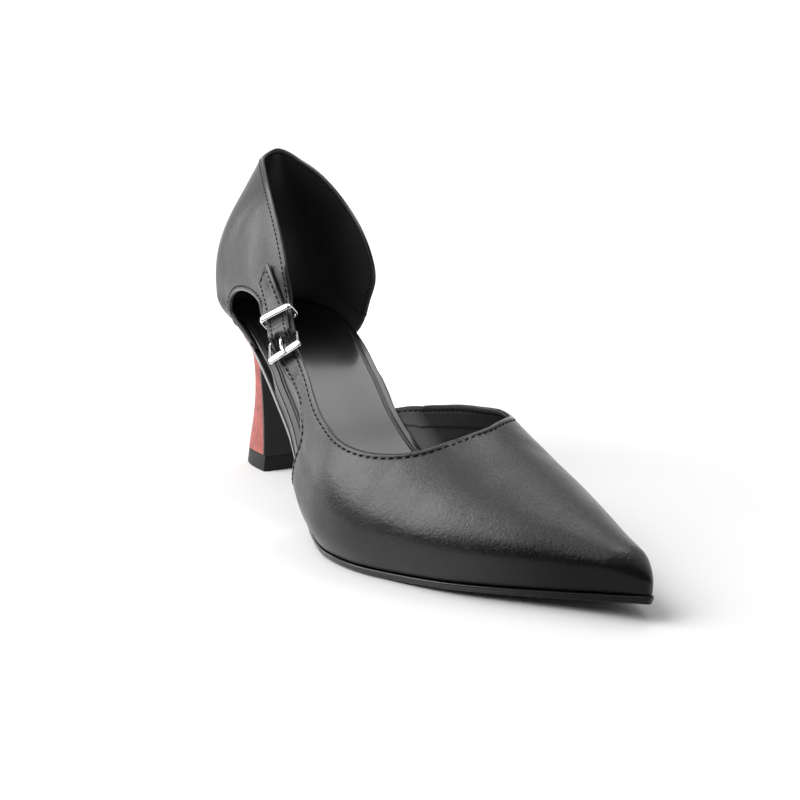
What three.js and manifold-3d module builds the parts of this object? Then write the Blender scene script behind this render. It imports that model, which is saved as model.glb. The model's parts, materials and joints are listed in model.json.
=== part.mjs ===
// Women's pointed pump, right shoe: open waist, buckled side strap, block heel.
// Millimetres. +X runs to the toe, +Y to the inner (big toe) side, +Z up.
// The shoe is laid out from the heel back (x = 0) and the floor (z = 0), then
// moved as one so that the origin is the middle of its box at floor level.

import * as THREE from 'three';
import { ConvexGeometry } from 'three/addons/geometries/ConvexGeometry.js';
import { mergeGeometries, mergeVertices } from 'three/addons/utils/BufferGeometryUtils.js';
import Module from 'manifold-3d';

const wasm = await Module();
wasm.setup();
const { Manifold, Mesh: SolidMesh } = wasm;

// Last and sole
const LENGTH = 246;
const BALL_WIDTH = 75;
const SEAT_WIDTH = 48;
const HEEL_HEIGHT = 71;
const FLANK_HEIGHT = 18;
const CROWN_HEIGHT = 90;
const TOE_SWING = 13.5;
const BACK_LEAN = 26;
const BACK_HEIGHT = 82;
const CAP_RADIUS = 30;
const TOE_CAP = 9;
const TOE_NOSE = 1.6;

// Thicknesses and the gaps that pieces keep where they meet; the wider one is
// measured level or upright across faces that slope
const OUTSOLE = 2.3;
const INSOLE = 3.6;
const VAMP_WALL = 1.5;
const QUARTER_WALL = 1.6;
const SEAM = 0.3;
const SLOPE_SEAM = 0.45;
const INSOLE_INSET = 3.4;
const SOLE_MARGIN = 0.4;

// Heel
const TOP_PIECE = 7;
const BREAST_COVER = 1.6;
const HEEL_DEPTH = 35.1;
const HEEL_WIDTH = 31;
const HEEL_SETBACK = 0.5;

// Side strap and buckle; the strap line is measured from the buckle's hinge bar,
// which lies HINGE_RISE above the feather line
const HINGE_AT = 102.5;
const HINGE_RISE = 37.1;
const STRAP_FALL = 43.8;
const STRAP_WIDTH = 7.8;
const STRAP_CLIMB = 2.85;
const STRAP_REACH = 33;
const STRAP_SLANT = 0.45;
const KEEPER_BACK = 10.4;
const FRAME_REACH = 9;
const FRAME_WIDTH = 13.4;
const KEEPER_PLAY = 0.6;
const KEEPER_ROD = 0.6;
const KEEPER_ROOM = 1.6;
const HINGE_OUT = 0.2;
const BAR = 1.6;
const LOOP_WALL = 0.8;
const PRONG = 1.2;

// Sole bottom line, shares of LENGTH and of HEEL_HEIGHT
const PROFILE = [
  { at: 0, up: 1 },
  { at: 0.08, up: 0.943 },
  { at: 0.16, up: 0.882 },
  { at: 0.22, up: 0.8 },
  { at: 0.28, up: 0.69 },
  { at: 0.34, up: 0.55 },
  { at: 0.4, up: 0.4 },
  { at: 0.46, up: 0.245 },
  { at: 0.52, up: 0.115 },
  { at: 0.57, up: 0.04 },
  { at: 0.62, up: 0.004 },
  { at: 0.64, up: 0 },
  { at: 0.7, up: 0 },
  { at: 0.74, up: 0.003 },
  { at: 0.8, up: 0.012 },
  { at: 0.88, up: 0.028 },
  { at: 0.94, up: 0.047 },
  { at: 1, up: 0.073 },
];

// Sections of the upper's outside. oF and iF are the outer and inner feather lines,
// oW and iW the widest lines, all shares of the local width and each counted away
// from the other side. flank, crown and ridge are shares of FLANK_HEIGHT,
// CROWN_HEIGHT and TOE_SWING; lean rounds the sides.
const SECTIONS = [
  { at: 0, oF: 0.48, iF: 0.47, oW: 0.61, iW: 0.57, flank: 0.52, crown: 0.91, ridge: 0, lean: 1.35 },
  { at: 0.05, oF: 0.515, iF: 0.475, oW: 0.635, iW: 0.58, flank: 0.52, crown: 0.92, ridge: 0, lean: 1.35 },
  { at: 0.1, oF: 0.54, iF: 0.48, oW: 0.65, iW: 0.575, flank: 0.52, crown: 0.94, ridge: 0, lean: 1.35 },
  { at: 0.18, oF: 0.525, iF: 0.48, oW: 0.65, iW: 0.56, flank: 0.52, crown: 0.98, ridge: 0, lean: 1.35 },
  { at: 0.26, oF: 0.5, iF: 0.42, oW: 0.605, iW: 0.505, flank: 0.6, crown: 1, ridge: 0.07, lean: 1.38 },
  { at: 0.34, oF: 0.45, iF: 0.335, oW: 0.53, iW: 0.43, flank: 0.7, crown: 0.955, ridge: 0.15, lean: 1.45 },
  { at: 0.42, oF: 0.415, iF: 0.272, oW: 0.49, iW: 0.365, flank: 0.72, crown: 0.87, ridge: 0.3, lean: 1.5 },
  { at: 0.5, oF: 0.445, iF: 0.293, oW: 0.507, iW: 0.365, flank: 0.67, crown: 0.77, ridge: 0.44, lean: 1.4 },
  { at: 0.58, oF: 0.5, iF: 0.4, oW: 0.553, iW: 0.45, flank: 0.61, crown: 0.64, ridge: 0.56, lean: 1.2 },
  { at: 0.64, oF: 0.52, iF: 0.47, oW: 0.567, iW: 0.51, flank: 0.555, crown: 0.55, ridge: 0.67, lean: 1.08 },
  { at: 0.7, oF: 0.488, iF: 0.49, oW: 0.53, iW: 0.52, flank: 0.5, crown: 0.452, ridge: 0.74, lean: 1.08 },
  { at: 0.76, oF: 0.4, iF: 0.47, oW: 0.44, iW: 0.5, flank: 0.47, crown: 0.365, ridge: 0.8, lean: 1.1 },
  { at: 0.82, oF: 0.29, iF: 0.425, oW: 0.33, iW: 0.452, flank: 0.44, crown: 0.29, ridge: 0.88, lean: 1.12 },
  { at: 0.88, oF: 0.135, iF: 0.36, oW: 0.178, iW: 0.38, flank: 0.42, crown: 0.222, ridge: 0.92, lean: 1.15 },
  { at: 0.93, oF: 0, iF: 0.295, oW: 0.035, iW: 0.31, flank: 0.39, crown: 0.166, ridge: 0.94, lean: 1.15 },
  { at: 0.97, oF: -0.1, iF: 0.249, oW: -0.067, iW: 0.259, flank: 0.35, crown: 0.122, ridge: 0.95, lean: 1.1 },
  { at: 1, oF: -0.144, iF: 0.218, oW: -0.134, iW: 0.222, flank: 0.28, crown: 0.08, ridge: 0.965, lean: 1 },
];

// Back of the heel cup seen from the side, shares of BACK_HEIGHT above the seat
// and of BACK_LEAN. round is the plan radius there, a share of CAP_RADIUS.
const BACK_SEAM = [
  { up: 0, fore: 0.115, round: 1 },
  { up: 0.1, fore: 0.023, round: 1 },
  { up: 0.22, fore: -0.038, round: 1 },
  { up: 0.37, fore: 0.02, round: 1.05 },
  { up: 0.55, fore: 0.25, round: 1.3 },
  { up: 0.68, fore: 0.48, round: 1.6 },
  { up: 0.82, fore: 0.71, round: 1.9 },
  { up: 1, fore: 1, round: 2.2 },
];

// Edges of the vamp: share of LENGTH, and girth from 0 (outer feather line) over
// the ridge to 1 (inner feather line). The rear edge climbs to the strap's root,
// which is its last two rows; the throat runs from its middle to either side.
// FORE_FOOT is where the row of points from the throat's middle meets the feather.
const VAMP_REAR = [
  { at: 0.515, girth: 0 },
  { at: 0.518, girth: 0.05 },
  { at: 0.5258, girth: 0.1 },
  { at: 0.537, girth: 0.137 },
  { at: 0.546, girth: 0.167 },
  { at: 0.548, girth: 0.188 },
  { at: 0.535, girth: 0.202 },
  { at: 0.516, girth: 0.208 },
];
const STRAP_ROOT = { at: 0.528, girth: 0.245 };
const THROAT_OUT = [
  { at: 0.7265, girth: 0.42 },
  { at: 0.7235, girth: 0.372 },
  { at: 0.715, girth: 0.341 },
  { at: 0.7005, girth: 0.315 },
  { at: 0.6815, girth: 0.294 },
  { at: 0.657, girth: 0.278 },
  { at: 0.627, girth: 0.268 },
  { at: 0.5945, girth: 0.26 },
  { at: 0.559, girth: 0.251 },
  { at: 0.528, girth: 0.245 },
];
const THROAT_IN = [
  { at: 0.7265, girth: 0.42 },
  { at: 0.7258, girth: 0.442 },
  { at: 0.7225, girth: 0.48 },
  { at: 0.713, girth: 0.534 },
  { at: 0.6955, girth: 0.597 },
  { at: 0.6675, girth: 0.664 },
  { at: 0.629, girth: 0.699 },
  { at: 0.575, girth: 0.755 },
  { at: 0.503, girth: 0.827 },
  { at: 0.464, girth: 0.862 },
  { at: 0.451, girth: 0.873 },
  { at: 0.44, girth: 0.886 },
  { at: 0.426, girth: 0.9165 },
  { at: 0.412, girth: 0.947 },
  { at: 0.4, girth: 0.975 },
  { at: 0.3915, girth: 0.994 },
];
const WING_FOOT = 0.3885;
const FORE_FOOT = 0.765;

// Strap from its free end to the vamp. on: way along the strap line as a share
// of STRAP_REACH (0 at the hinge bar), off: drift towards the toe as a share of
// STRAP_WIDTH, half: half width share, lift: underside above the quarter's face
// as a share of STRAP_CLIMB, twist: degrees that the strap turns to face forward.
const STRAP = [
  { on: -0.96, off: 0, half: 0.5, lift: 0.16, twist: 18 },
  { on: -0.8, off: 0, half: 0.5, lift: 0.16, twist: 22 },
  { on: -0.6, off: 0, half: 0.5, lift: 0.16, twist: 26 },
  { on: -0.42, off: 0, half: 0.5, lift: 0.16, twist: 30 },
  { on: -0.26, off: 0, half: 0.5, lift: 0.206, twist: 30 },
  { on: -0.14, off: 0, half: 0.5, lift: 0.75, twist: 30 },
  { on: -0.05, off: 0, half: 0.5, lift: 1, twist: 30 },
  { on: 0.04, off: 0, half: 0.5, lift: 0.98, twist: 30 },
  { on: 0.12, off: 0.01, half: 0.5, lift: 0.387, twist: 29 },
  { on: 0.2, off: 0.02, half: 0.5, lift: 0.043, twist: 27 },
  { on: 0.28, off: 0.05, half: 0.5, lift: -0.215, twist: 25 },
  { on: 0.4, off: 0.14, half: 0.5, lift: -0.404, twist: 18 },
  { on: 0.56, off: 0.285, half: 0.475, lift: -0.516, twist: 8 },
  { on: 0.74, off: 0.425, half: 0.425, lift: -0.533, twist: 0 },
];

// Way of the prong from its curl up through the strap, millimetres from the hinge
const PRONG_RISE = [
  { along: 1.3, out: 2.5 },
  { along: 2.7, out: 3.7 },
  { along: 4.2, out: 4.4 },
];

// Quarter edges from the buckle strap's end round the heel to the inner front.
// The end by the hinge bar is given along the strap line: low and high edge as
// shares of STRAP_WIDTH. The rest has round: way round the heel from the back
// seam, on the outer side a negative share of the way to the hinge bar, on the
// inner side a share of LENGTH, and up: height above the feather line as a share
// of BACK_HEIGHT.
const QUARTER_END = [
  { on: 0.045, low: -0.55, high: 0.55 },
  { on: -0.14, low: -0.562, high: 0.58 },
  { on: -0.32, low: -0.612, high: 0.687 },
  { on: -0.56, low: -0.82, high: 1.01 },
];
const COLLAR = [
  { round: -0.874, up: 0.66 },
  { round: -0.819, up: 0.704 },
  { round: -0.755, up: 0.749 },
  { round: -0.67, up: 0.798 },
  { round: -0.561, up: 0.829 },
  { round: -0.431, up: 0.843 },
  { round: -0.309, up: 0.85 },
  { round: -0.194, up: 0.857 },
  { round: -0.07, up: 0.874 },
  { round: 0.021, up: 0.884 },
  { round: 0.086, up: 0.872 },
  { round: 0.139, up: 0.839 },
  { round: 0.19, up: 0.799 },
  { round: 0.233, up: 0.741 },
  { round: 0.272, up: 0.665 },
  { round: 0.309, up: 0.602 },
  { round: 0.334, up: 0.522 },
  { round: 0.345, up: 0.422 },
  { round: 0.333, up: 0.317 },
  { round: 0.31, up: 0.2 },
  { round: 0.293, up: 0.12 },
];
const KEYHOLE = [
  { round: -0.785, up: 0.383 },
  { round: -0.745, up: 0.366 },
  { round: -0.695, up: 0.334 },
  { round: -0.64, up: 0.292 },
  { round: -0.589, up: 0.247 },
  { round: -0.547, up: 0.2 },
  { round: -0.52, up: 0.158 },
  { round: -0.503, up: 0.1 },
];

// Middle line of the heel cup between its two rows of faces, and the feather
const CUP_LINE = [
  { round: -0.503, up: 0.1 },
  { round: -0.22, up: 0.1 },
  { round: 0, up: 0.1 },
  { round: 0.09, up: 0.1 },
  { round: 0.18, up: 0.1 },
  { round: 0.25, up: 0.1 },
  { round: 0.287, up: 0.1 },
];
const CUP_FOOT = [
  { round: -0.503, up: 0 },
  { round: -0.22, up: 0 },
  { round: 0, up: 0 },
  { round: 0.09, up: 0 },
  { round: 0.18, up: 0 },
  { round: 0.24, up: 0 },
  { round: 0.268, up: 0 },
];

// Outer front lip of the heel cup, under the keyhole
const LIP_TOP = [
  { round: -0.503, up: 0.1 },
  { round: -0.511, up: 0.081 },
  { round: -0.532, up: 0.06 },
  { round: -0.565, up: 0.038 },
  { round: -0.61, up: 0.019 },
];
const LIP_FOOT = [
  { round: -0.503, up: 0 },
  { round: -0.526, up: 0 },
  { round: -0.552, up: 0 },
  { round: -0.583, up: 0 },
  { round: -0.617, up: 0 },
];

// Heel sections from the floor to the seat: share of the way up, back and
// breast shares of HEEL_DEPTH from the setback line, half: share of HEEL_WIDTH
const HEEL = [
  { up: 0, back: -0.01, breast: 1.04, half: 0.538 },
  { up: 0.105, back: 0.025, breast: 1.03, half: 0.507 },
  { up: 0.21, back: 0.085, breast: 0.96, half: 0.468 },
  { up: 0.36, back: 0.214, breast: 0.895, half: 0.435 },
  { up: 0.51, back: 0.316, breast: 0.84, half: 0.419 },
  { up: 0.66, back: 0.38, breast: 0.826, half: 0.428 },
  { up: 0.79, back: 0.357, breast: 0.926, half: 0.473 },
  { up: 0.9, back: 0.254, breast: 1.11, half: 0.6 },
  { up: 1, back: 0.1, breast: 1.353, half: 0.71 },
];

// A smooth curve through the rows of a table, read column by column
function curve(rows, along, column) {
  const x = rows.map((row) => row[along]);
  const y = rows.map((row) => row[column]);
  const step = x.slice(1).map((value, i) => value - x[i]);
  const rise = step.map((value, i) => (y[i + 1] - y[i]) / value);
  const slope = y.map((_, i) => {
    if (i === 0 || i === y.length - 1) return 0;
    return (rise[i - 1] * step[i] + rise[i] * step[i - 1]) / (step[i - 1] + step[i]);
  });
  slope[0] = 1.5 * rise[0] - 0.5 * slope[1];
  slope[y.length - 1] = 1.5 * rise[rise.length - 1] - 0.5 * slope[y.length - 2];
  return (at) => {
    const here = Math.min(Math.max(at, x[0]), x[x.length - 1]);
    let i = 0;
    while (i < step.length - 1 && here > x[i + 1]) i += 1;
    const t = (here - x[i]) / step[i];
    const s = 1 - t;
    return (1 + 2 * t) * s * s * y[i] + t * s * s * step[i] * slope[i]
      + t * t * (3 - 2 * t) * y[i + 1] - t * t * s * step[i] * slope[i + 1];
  };
}

// The same rows read as a path: a function of 0 to 1 that gives every column
function path(rows, columns) {
  const numbered = rows.map((row, i) => ({ ...row, index: i / (rows.length - 1) }));
  const read = Object.fromEntries(columns.map((name) => [name, curve(numbered, 'index', name)]));
  return (t) => Object.fromEntries(columns.map((name) => [name, read[name](t)]));
}

const clamp = (value, low, high) => Math.min(Math.max(value, low), high);
const smooth = (value) => {
  const t = clamp(value, 0, 1);
  return t * t * (3 - 2 * t);
};
const steps = (count) => Array.from({ length: count + 1 }, (_, i) => i / count);

const profileUp = curve(PROFILE, 'at', 'up');
const soleBottom = (x) => Math.max(HEEL_HEIGHT * profileUp(x / LENGTH), 0);
const feather = (x) => soleBottom(x) + OUTSOLE + SLOPE_SEAM;
const HINGE_UP = feather(HINGE_AT) + HINGE_RISE;
const WIDEN_FROM = 0.15;
const WIDEN_OVER = 0.4;
const widening = (x) => smooth((x / LENGTH - WIDEN_FROM) / WIDEN_OVER);
const localWidth = (x) => SEAT_WIDTH + (BALL_WIDTH - SEAT_WIDTH) * widening(x);

const sectionColumns = ['oF', 'iF', 'oW', 'iW', 'flank', 'crown', 'ridge', 'lean'];
const sectionCurve = Object.fromEntries(
  sectionColumns.map((name) => [name, curve(SECTIONS, 'at', name)]),
);

const NOSE_ROUND = 0.8;
const NOSE_FLANK = 0.55 * TOE_NOSE;

// Numbers of the section at x, in millimetres, with the toe's rounded end
function section(x) {
  const at = clamp(x / LENGTH, 0, 1);
  const width = localWidth(at * LENGTH);
  const read = (name) => sectionCurve[name](at);
  const outer = { foot: -read('oF') * width, wide: -read('oW') * width };
  const inner = { foot: read('iF') * width, wide: read('iW') * width };
  let flank = read('flank') * FLANK_HEIGHT;
  let crown = read('crown') * CROWN_HEIGHT;
  let ridge = read('ridge') * TOE_SWING;
  const into = clamp((at * LENGTH - (LENGTH - TOE_CAP)) / TOE_CAP, 0, 1);
  if (into > 0) {
    const shrink = Math.sqrt(1 - into * into);
    const axis = 0.5 * (outer.foot + inner.foot);
    const pull = (y) => axis + (y - axis) * shrink;
    [outer.foot, outer.wide, inner.foot, inner.wide] =
      [outer.foot, outer.wide, inner.foot, inner.wide].map(pull);
    ridge = pull(ridge);
    crown = TOE_NOSE + (crown - TOE_NOSE) * shrink ** NOSE_ROUND;
    flank = NOSE_FLANK + (flank - NOSE_FLANK) * shrink;
  }
  return { outer, inner, flank, crown, ridge, lean: read('lean') };
}

const FLANK_GIRTH = 0.12;
const CROWN_ROUND = 0.95;

// Outside of the upper at x and girth: 0 outer feather, 0.5 ridge, 1 inner feather
function lastPoint(x, girth) {
  const s = section(x);
  const outerSide = girth < 0.5;
  const side = outerSide ? s.outer : s.inner;
  const from = outerSide ? girth : 1 - girth;
  if (from < FLANK_GIRTH) {
    const q = from / FLANK_GIRTH;
    const y = side.foot + (side.wide - side.foot) * (1 - (1 - q) * (1 - q));
    return new THREE.Vector3(x, y, feather(x) + s.flank * q);
  }
  const angle = ((from - FLANK_GIRTH) / (1 - 2 * FLANK_GIRTH)) * Math.PI;
  const y = s.ridge + (side.wide - s.ridge) * Math.abs(Math.cos(angle)) ** s.lean;
  const z = feather(x) + s.flank + (s.crown - s.flank) * Math.abs(Math.sin(angle)) ** CROWN_ROUND;
  return new THREE.Vector3(x, y, z);
}

// The same outside read by height above the feather line
function sideY(x, height, outerSide) {
  const s = section(x);
  const side = outerSide ? s.outer : s.inner;
  if (height < s.flank) {
    const q = clamp(height / s.flank, 0, 1);
    return side.foot + (side.wide - side.foot) * (1 - (1 - q) * (1 - q));
  }
  const sine = clamp((height - s.flank) / (s.crown - s.flank), 0, 1) ** (1 / CROWN_ROUND);
  return s.ridge + (side.wide - s.ridge) * Math.sqrt(1 - sine * sine) ** s.lean;
}

const seamFore = curve(BACK_SEAM, 'up', 'fore');
const seamRound = curve(BACK_SEAM, 'up', 'round');
const backSeam = (height) => BACK_LEAN * seamFore(height / BACK_HEIGHT);
const capRadius = (height) => CAP_RADIUS * seamRound(height / BACK_HEIGHT);
const CAP_ROUND = 0.92;

// Outside of the heel cup: run is the way round from the back seam, outer negative
function cupPoint(run, height) {
  const radius = capRadius(height);
  const turn = Math.min(Math.abs(run) / radius, Math.PI / 2);
  const straight = Math.max(Math.abs(run) - (radius * Math.PI) / 2, 0);
  const fore = radius * (1 - Math.cos(turn)) + straight;
  const x = backSeam(height) + fore;
  const y = sideY(x, height, run < 0) * Math.sin(turn) ** CAP_ROUND;
  return new THREE.Vector3(x, y, feather(x) + height);
}

// A point on the outer side by its x and z, pushed out by lift along the normal
function outerFace(x, z, lift = 0) {
  const at = (u, w) => new THREE.Vector3(u, sideY(u, w - feather(u), true), w);
  const point = at(x, z);
  const alongX = at(x + 0.5, z).sub(at(x - 0.5, z));
  const alongZ = at(x, z + 0.5).sub(at(x, z - 0.5));
  const normal = alongX.cross(alongZ).normalize();
  if (normal.y > 0) normal.negate();
  return { point: point.addScaledVector(normal, lift), normal };
}

// Faces between rows of points; loops close on themselves
function faces(rows, flip = false) {
  const across = rows[0].length;
  const position = rows.flat().flatMap((p) => [p.x, p.y, p.z]);
  const index = [];
  for (let i = 0; i + 1 < rows.length; i += 1) {
    for (let j = 0; j + 1 < across; j += 1) {
      const a = i * across + j;
      const b = a + across;
      const quad = [a, b, a + 1, a + 1, b, b + 1];
      index.push(...(flip ? quad.reverse() : quad));
    }
  }
  const geometry = new THREE.BufferGeometry();
  geometry.setAttribute('position', new THREE.Float32BufferAttribute(position, 3));
  geometry.setIndex(index);
  return geometry;
}

const SAME_POINT = 2e-3;
const SAME_PLANE = 0.01;

// Joined patches with shared points welded and empty faces dropped
function weld(patches) {
  const welded = mergeVertices(mergeGeometries(patches), SAME_POINT);
  const index = Array.from(welded.index.array);
  const kept = [];
  for (let i = 0; i < index.length; i += 3) {
    const [a, b, c] = index.slice(i, i + 3);
    if (a !== b && b !== c && c !== a) kept.push(a, b, c);
  }
  welded.setIndex(kept);
  return welded;
}

// Closed wall from an open sheet: the sheet is its outside, wall lies inwards
function wallFrom(sheet, wall) {
  sheet.computeVertexNormals();
  const { position, normal } = sheet.attributes;
  const count = position.count;
  const points = Array.from(position.array);
  const p = new THREE.Vector3();
  const n = new THREE.Vector3();
  for (let i = 0; i < count; i += 1) {
    p.fromBufferAttribute(position, i).addScaledVector(n.fromBufferAttribute(normal, i), -wall);
    points.push(p.x, p.y, p.z);
  }
  const outside = Array.from(sheet.index.array);
  const index = [...outside];
  const edges = new Set();
  for (let i = 0; i < outside.length; i += 3) {
    const [a, b, c] = outside.slice(i, i + 3);
    index.push(a + count, c + count, b + count);
    [[a, b], [b, c], [c, a]].forEach(([from, to]) => edges.add(`${from},${to}`));
  }
  edges.forEach((edge) => {
    const [a, b] = edge.split(',').map(Number);
    if (edges.has(`${b},${a}`)) return;
    index.push(a, a + count, b, b, a + count, b + count);
  });
  const geometry = new THREE.BufferGeometry();
  geometry.setAttribute('position', new THREE.Float32BufferAttribute(points, 3));
  geometry.setIndex(index);
  return geometry;
}

function toSolid(geometry) {
  const bare = geometry.clone();
  bare.deleteAttribute('normal');
  bare.deleteAttribute('uv');
  const merged = weld([bare]);
  return new Manifold(new SolidMesh({
    numProp: 3,
    vertProperties: new Float32Array(merged.attributes.position.array),
    triVerts: new Uint32Array(merged.index.array),
  }));
}

function fromSolid(solid) {
  const mesh = solid.getMesh();
  const geometry = new THREE.BufferGeometry();
  geometry.setAttribute('position', new THREE.Float32BufferAttribute(mesh.vertProperties, 3));
  geometry.setIndex(Array.from(mesh.triVerts));
  return geometry;
}

const HEEL_SHARE = 0.3;
const TOE_CROWD = 1.6;

// Outer and inner lines of the sole's outline from heel back to toe tip, with
// HEEL_SHARE of the steps round the heel and the rest crowded towards the toe
function soleOutline(grow, height, count) {
  const join = backSeam(height) + CAP_RADIUS;
  const start = backSeam(height) - grow;
  const tip = LENGTH + grow;
  return steps(count).map((t) => {
    const turn = Math.min(t / HEEL_SHARE, 1) * (Math.PI / 2);
    const fore = Math.max(t - HEEL_SHARE, 0) / (1 - HEEL_SHARE);
    const front = 1 - (1 - fore) ** TOE_CROWD;
    const x = start + (join - start) * (1 - Math.cos(turn)) + (tip - join) * front;
    const read = x < join ? x : join + ((x - join) * (LENGTH - join)) / (tip - join);
    const near = clamp((tip - x) / TOE_CAP, 0, 1);
    const growth = grow * Math.sqrt(1 - (1 - near) ** 2);
    const bend = Math.sin(turn) ** CAP_ROUND;
    return {
      x,
      outer: (sideY(read, height, true) - growth) * bend,
      inner: (sideY(read, height, false) + growth) * bend,
    };
  });
}

// Plate that follows the sole: each layer is an outline with its own height
function plate(layers, count, across) {
  const rim = layers.map(({ grow, level, height }) => soleOutline(grow, height, count)
    .map((row) => ({
      outer: new THREE.Vector3(row.x, row.outer, level(row.x)),
      inner: new THREE.Vector3(row.x, row.inner, level(row.x)),
    })));
  const sheetOf = (rows) => rows.map(({ outer, inner }) => steps(across)
    .map((t) => outer.clone().lerp(inner, t)));
  const bottom = sheetOf(rim[0]);
  const top = sheetOf(rim[rim.length - 1]);
  const sideOf = (name) => rim.map((rows) => rows.map((row) => row[name]));
  return weld([
    faces(bottom, true),
    faces(top),
    faces(sideOf('outer'), true),
    faces(sideOf('inner')),
  ]);
}

const SOLE_BEVEL = 0.8;
const SOLE_STEPS = 46;
const SOLE_ACROSS = 4;

function outsole() {
  return plate([
    { grow: SOLE_MARGIN - SOLE_BEVEL, level: soleBottom, height: 0 },
    { grow: SOLE_MARGIN, level: (x) => soleBottom(x) + SOLE_BEVEL, height: 0 },
    { grow: SOLE_MARGIN, level: (x) => soleBottom(x) + OUTSOLE, height: 0 },
  ], SOLE_STEPS, SOLE_ACROSS);
}

const INSOLE_BEVEL = 0.5;
const INSOLE_ROUND = 0.6;

function insole() {
  const layer = (height, extra) => ({
    grow: -INSOLE_INSET - extra,
    level: (x) => feather(x) + height,
    height,
  });
  return plate([
    layer(0, INSOLE_BEVEL),
    layer(INSOLE_BEVEL, 0),
    layer(INSOLE - INSOLE_ROUND, 0),
    layer(INSOLE, INSOLE_ROUND),
  ], SOLE_STEPS, SOLE_ACROSS);
}

// The strap line: unit vectors down the strap and across it in the x z plane
const fall = THREE.MathUtils.degToRad(STRAP_FALL);
const down = new THREE.Vector2(Math.cos(fall), -Math.sin(fall));
const over = new THREE.Vector2(Math.sin(fall), Math.cos(fall));
const strapColumns = ['off', 'half', 'lift', 'twist'];
const strapRead = Object.fromEntries(
  strapColumns.map((name) => [name, curve(STRAP, 'on', name)]),
);
const STRAP_START = STRAP[0].on;
const STRAP_END = STRAP[STRAP.length - 1].on;

// Frame of the strap at its middle line: point, direction, width and outward axes
function strapFrame(on) {
  const spot = (along) => {
    const centre = new THREE.Vector2(HINGE_AT, HINGE_UP)
      .addScaledVector(down, along * STRAP_REACH)
      .addScaledVector(over, strapRead.off(along) * STRAP_WIDTH);
    return outerFace(centre.x, centre.y);
  };
  const { point, normal } = spot(on);
  const along = spot(on + 0.02).point.sub(spot(on - 0.02).point).normalize();
  const out = normal.addScaledVector(along, -normal.dot(along)).normalize();
  const width = new THREE.Vector3().crossVectors(out, along);
  const turn = new THREE.Quaternion()
    .setFromAxisAngle(along, THREE.MathUtils.degToRad(-strapRead.twist(on)));
  return { point, along, width: width.applyQuaternion(turn), out: out.applyQuaternion(turn) };
}

// The turned strap frame holds from HOLD_TOP to HOLD_FOOT along the strap line,
// fading in over HOLD_IN and out over HOLD_OUT; across it fades from HOLD_SIDE on
const HOLD_TOP = -0.85;
const HOLD_IN = 0.45;
const HOLD_FOOT = 0.8;
const HOLD_OUT = 0.35;
const HOLD_SIDE = 16;
const HOLD_FADE = 8;

// How much the quarter and strap follow the turned strap frame at a place
function strapHold(on, side) {
  const entering = smooth((on - HOLD_TOP) / HOLD_IN);
  const leaving = smooth((HOLD_FOOT - on) / HOLD_OUT);
  return entering * leaving * smooth(1 + (HOLD_SIDE - Math.abs(side)) / HOLD_FADE);
}

function alongStrap(x, z) {
  const away = new THREE.Vector2(x - HINGE_AT, z - HINGE_UP);
  const on = away.dot(down) / STRAP_REACH;
  return { on, side: away.dot(over) - strapRead.off(on) * STRAP_WIDTH };
}

// A point of the quarter's or vamp's outer face near the strap, pulled to the frame
function heldFace(face, on, side, lift = 0) {
  const frame = strapFrame(on);
  const held = frame.point.clone().addScaledVector(frame.width, side);
  return face.clone().lerp(held, strapHold(on, side)).addScaledVector(frame.out, lift);
}

function strapPoint(on, side, lift) {
  const centre = new THREE.Vector2(HINGE_AT, HINGE_UP)
    .addScaledVector(down, on * STRAP_REACH)
    .addScaledVector(over, strapRead.off(on) * STRAP_WIDTH + side);
  return heldFace(outerFace(centre.x, centre.y).point, on, side, lift);
}

const runTo = (x, height) => x - backSeam(height) + (Math.PI / 2 - 1) * capRadius(height);
const HINGE_RUN = runTo(HINGE_AT, HINGE_RISE);

// Place on the heel cup of a point given along and across the strap line
function cupPlace(on, side) {
  const centre = new THREE.Vector2(HINGE_AT, HINGE_UP)
    .addScaledVector(down, on * STRAP_REACH)
    .addScaledVector(over, strapRead.off(on) * STRAP_WIDTH + side * STRAP_WIDTH);
  const height = centre.y - feather(centre.x);
  return { round: -runTo(centre.x, height) / HINGE_RUN, up: height / BACK_HEIGHT };
}

function quarterPoint(row) {
  const face = cupPoint(row.round * (row.round < 0 ? HINGE_RUN : LENGTH), row.up * BACK_HEIGHT);
  const { on, side } = alongStrap(face.x, face.z);
  if (row.round > 0 || strapHold(on, side) === 0) return face;
  return heldFace(face, on, side);
}

// Steps of the sheets: down and across the strap, up the vamp's outer flank,
// along the throat's outer and inner side, across the inner side, round the toe
const STRAP_STEPS = 26;
const STRAP_ACROSS = 4;
const FLANK_STEPS = 9;
const OUTER_STEPS = 16;
const INNER_STEPS = 20;
const INNER_ACROSS = 12;
const FORE_STEPS = 16;
const END_SLANT = 1 / 6;
const BULGE_FROM = 0.45;
const FORE_CROWD = 1.15;
const FORE_EVEN = 1.1;

// Strap sheet from its slanted free end down to the row of root points
function strapSheet(root) {
  const free = steps(STRAP_STEPS).map((t) => {
    const on = STRAP_START + (STRAP_END - STRAP_START) * t;
    const half = strapRead.half(on) * STRAP_WIDTH;
    const lift = strapRead.lift(on) * STRAP_CLIMB + VAMP_WALL;
    return steps(STRAP_ACROSS).map((w) => {
      const side = (2 * w - 1) * half;
      const slant = (STRAP_SLANT * side * smooth(1 - t / END_SLANT)) / STRAP_REACH;
      return strapPoint(on - slant, side, lift);
    });
  });
  return faces([...free, root]);
}

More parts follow.
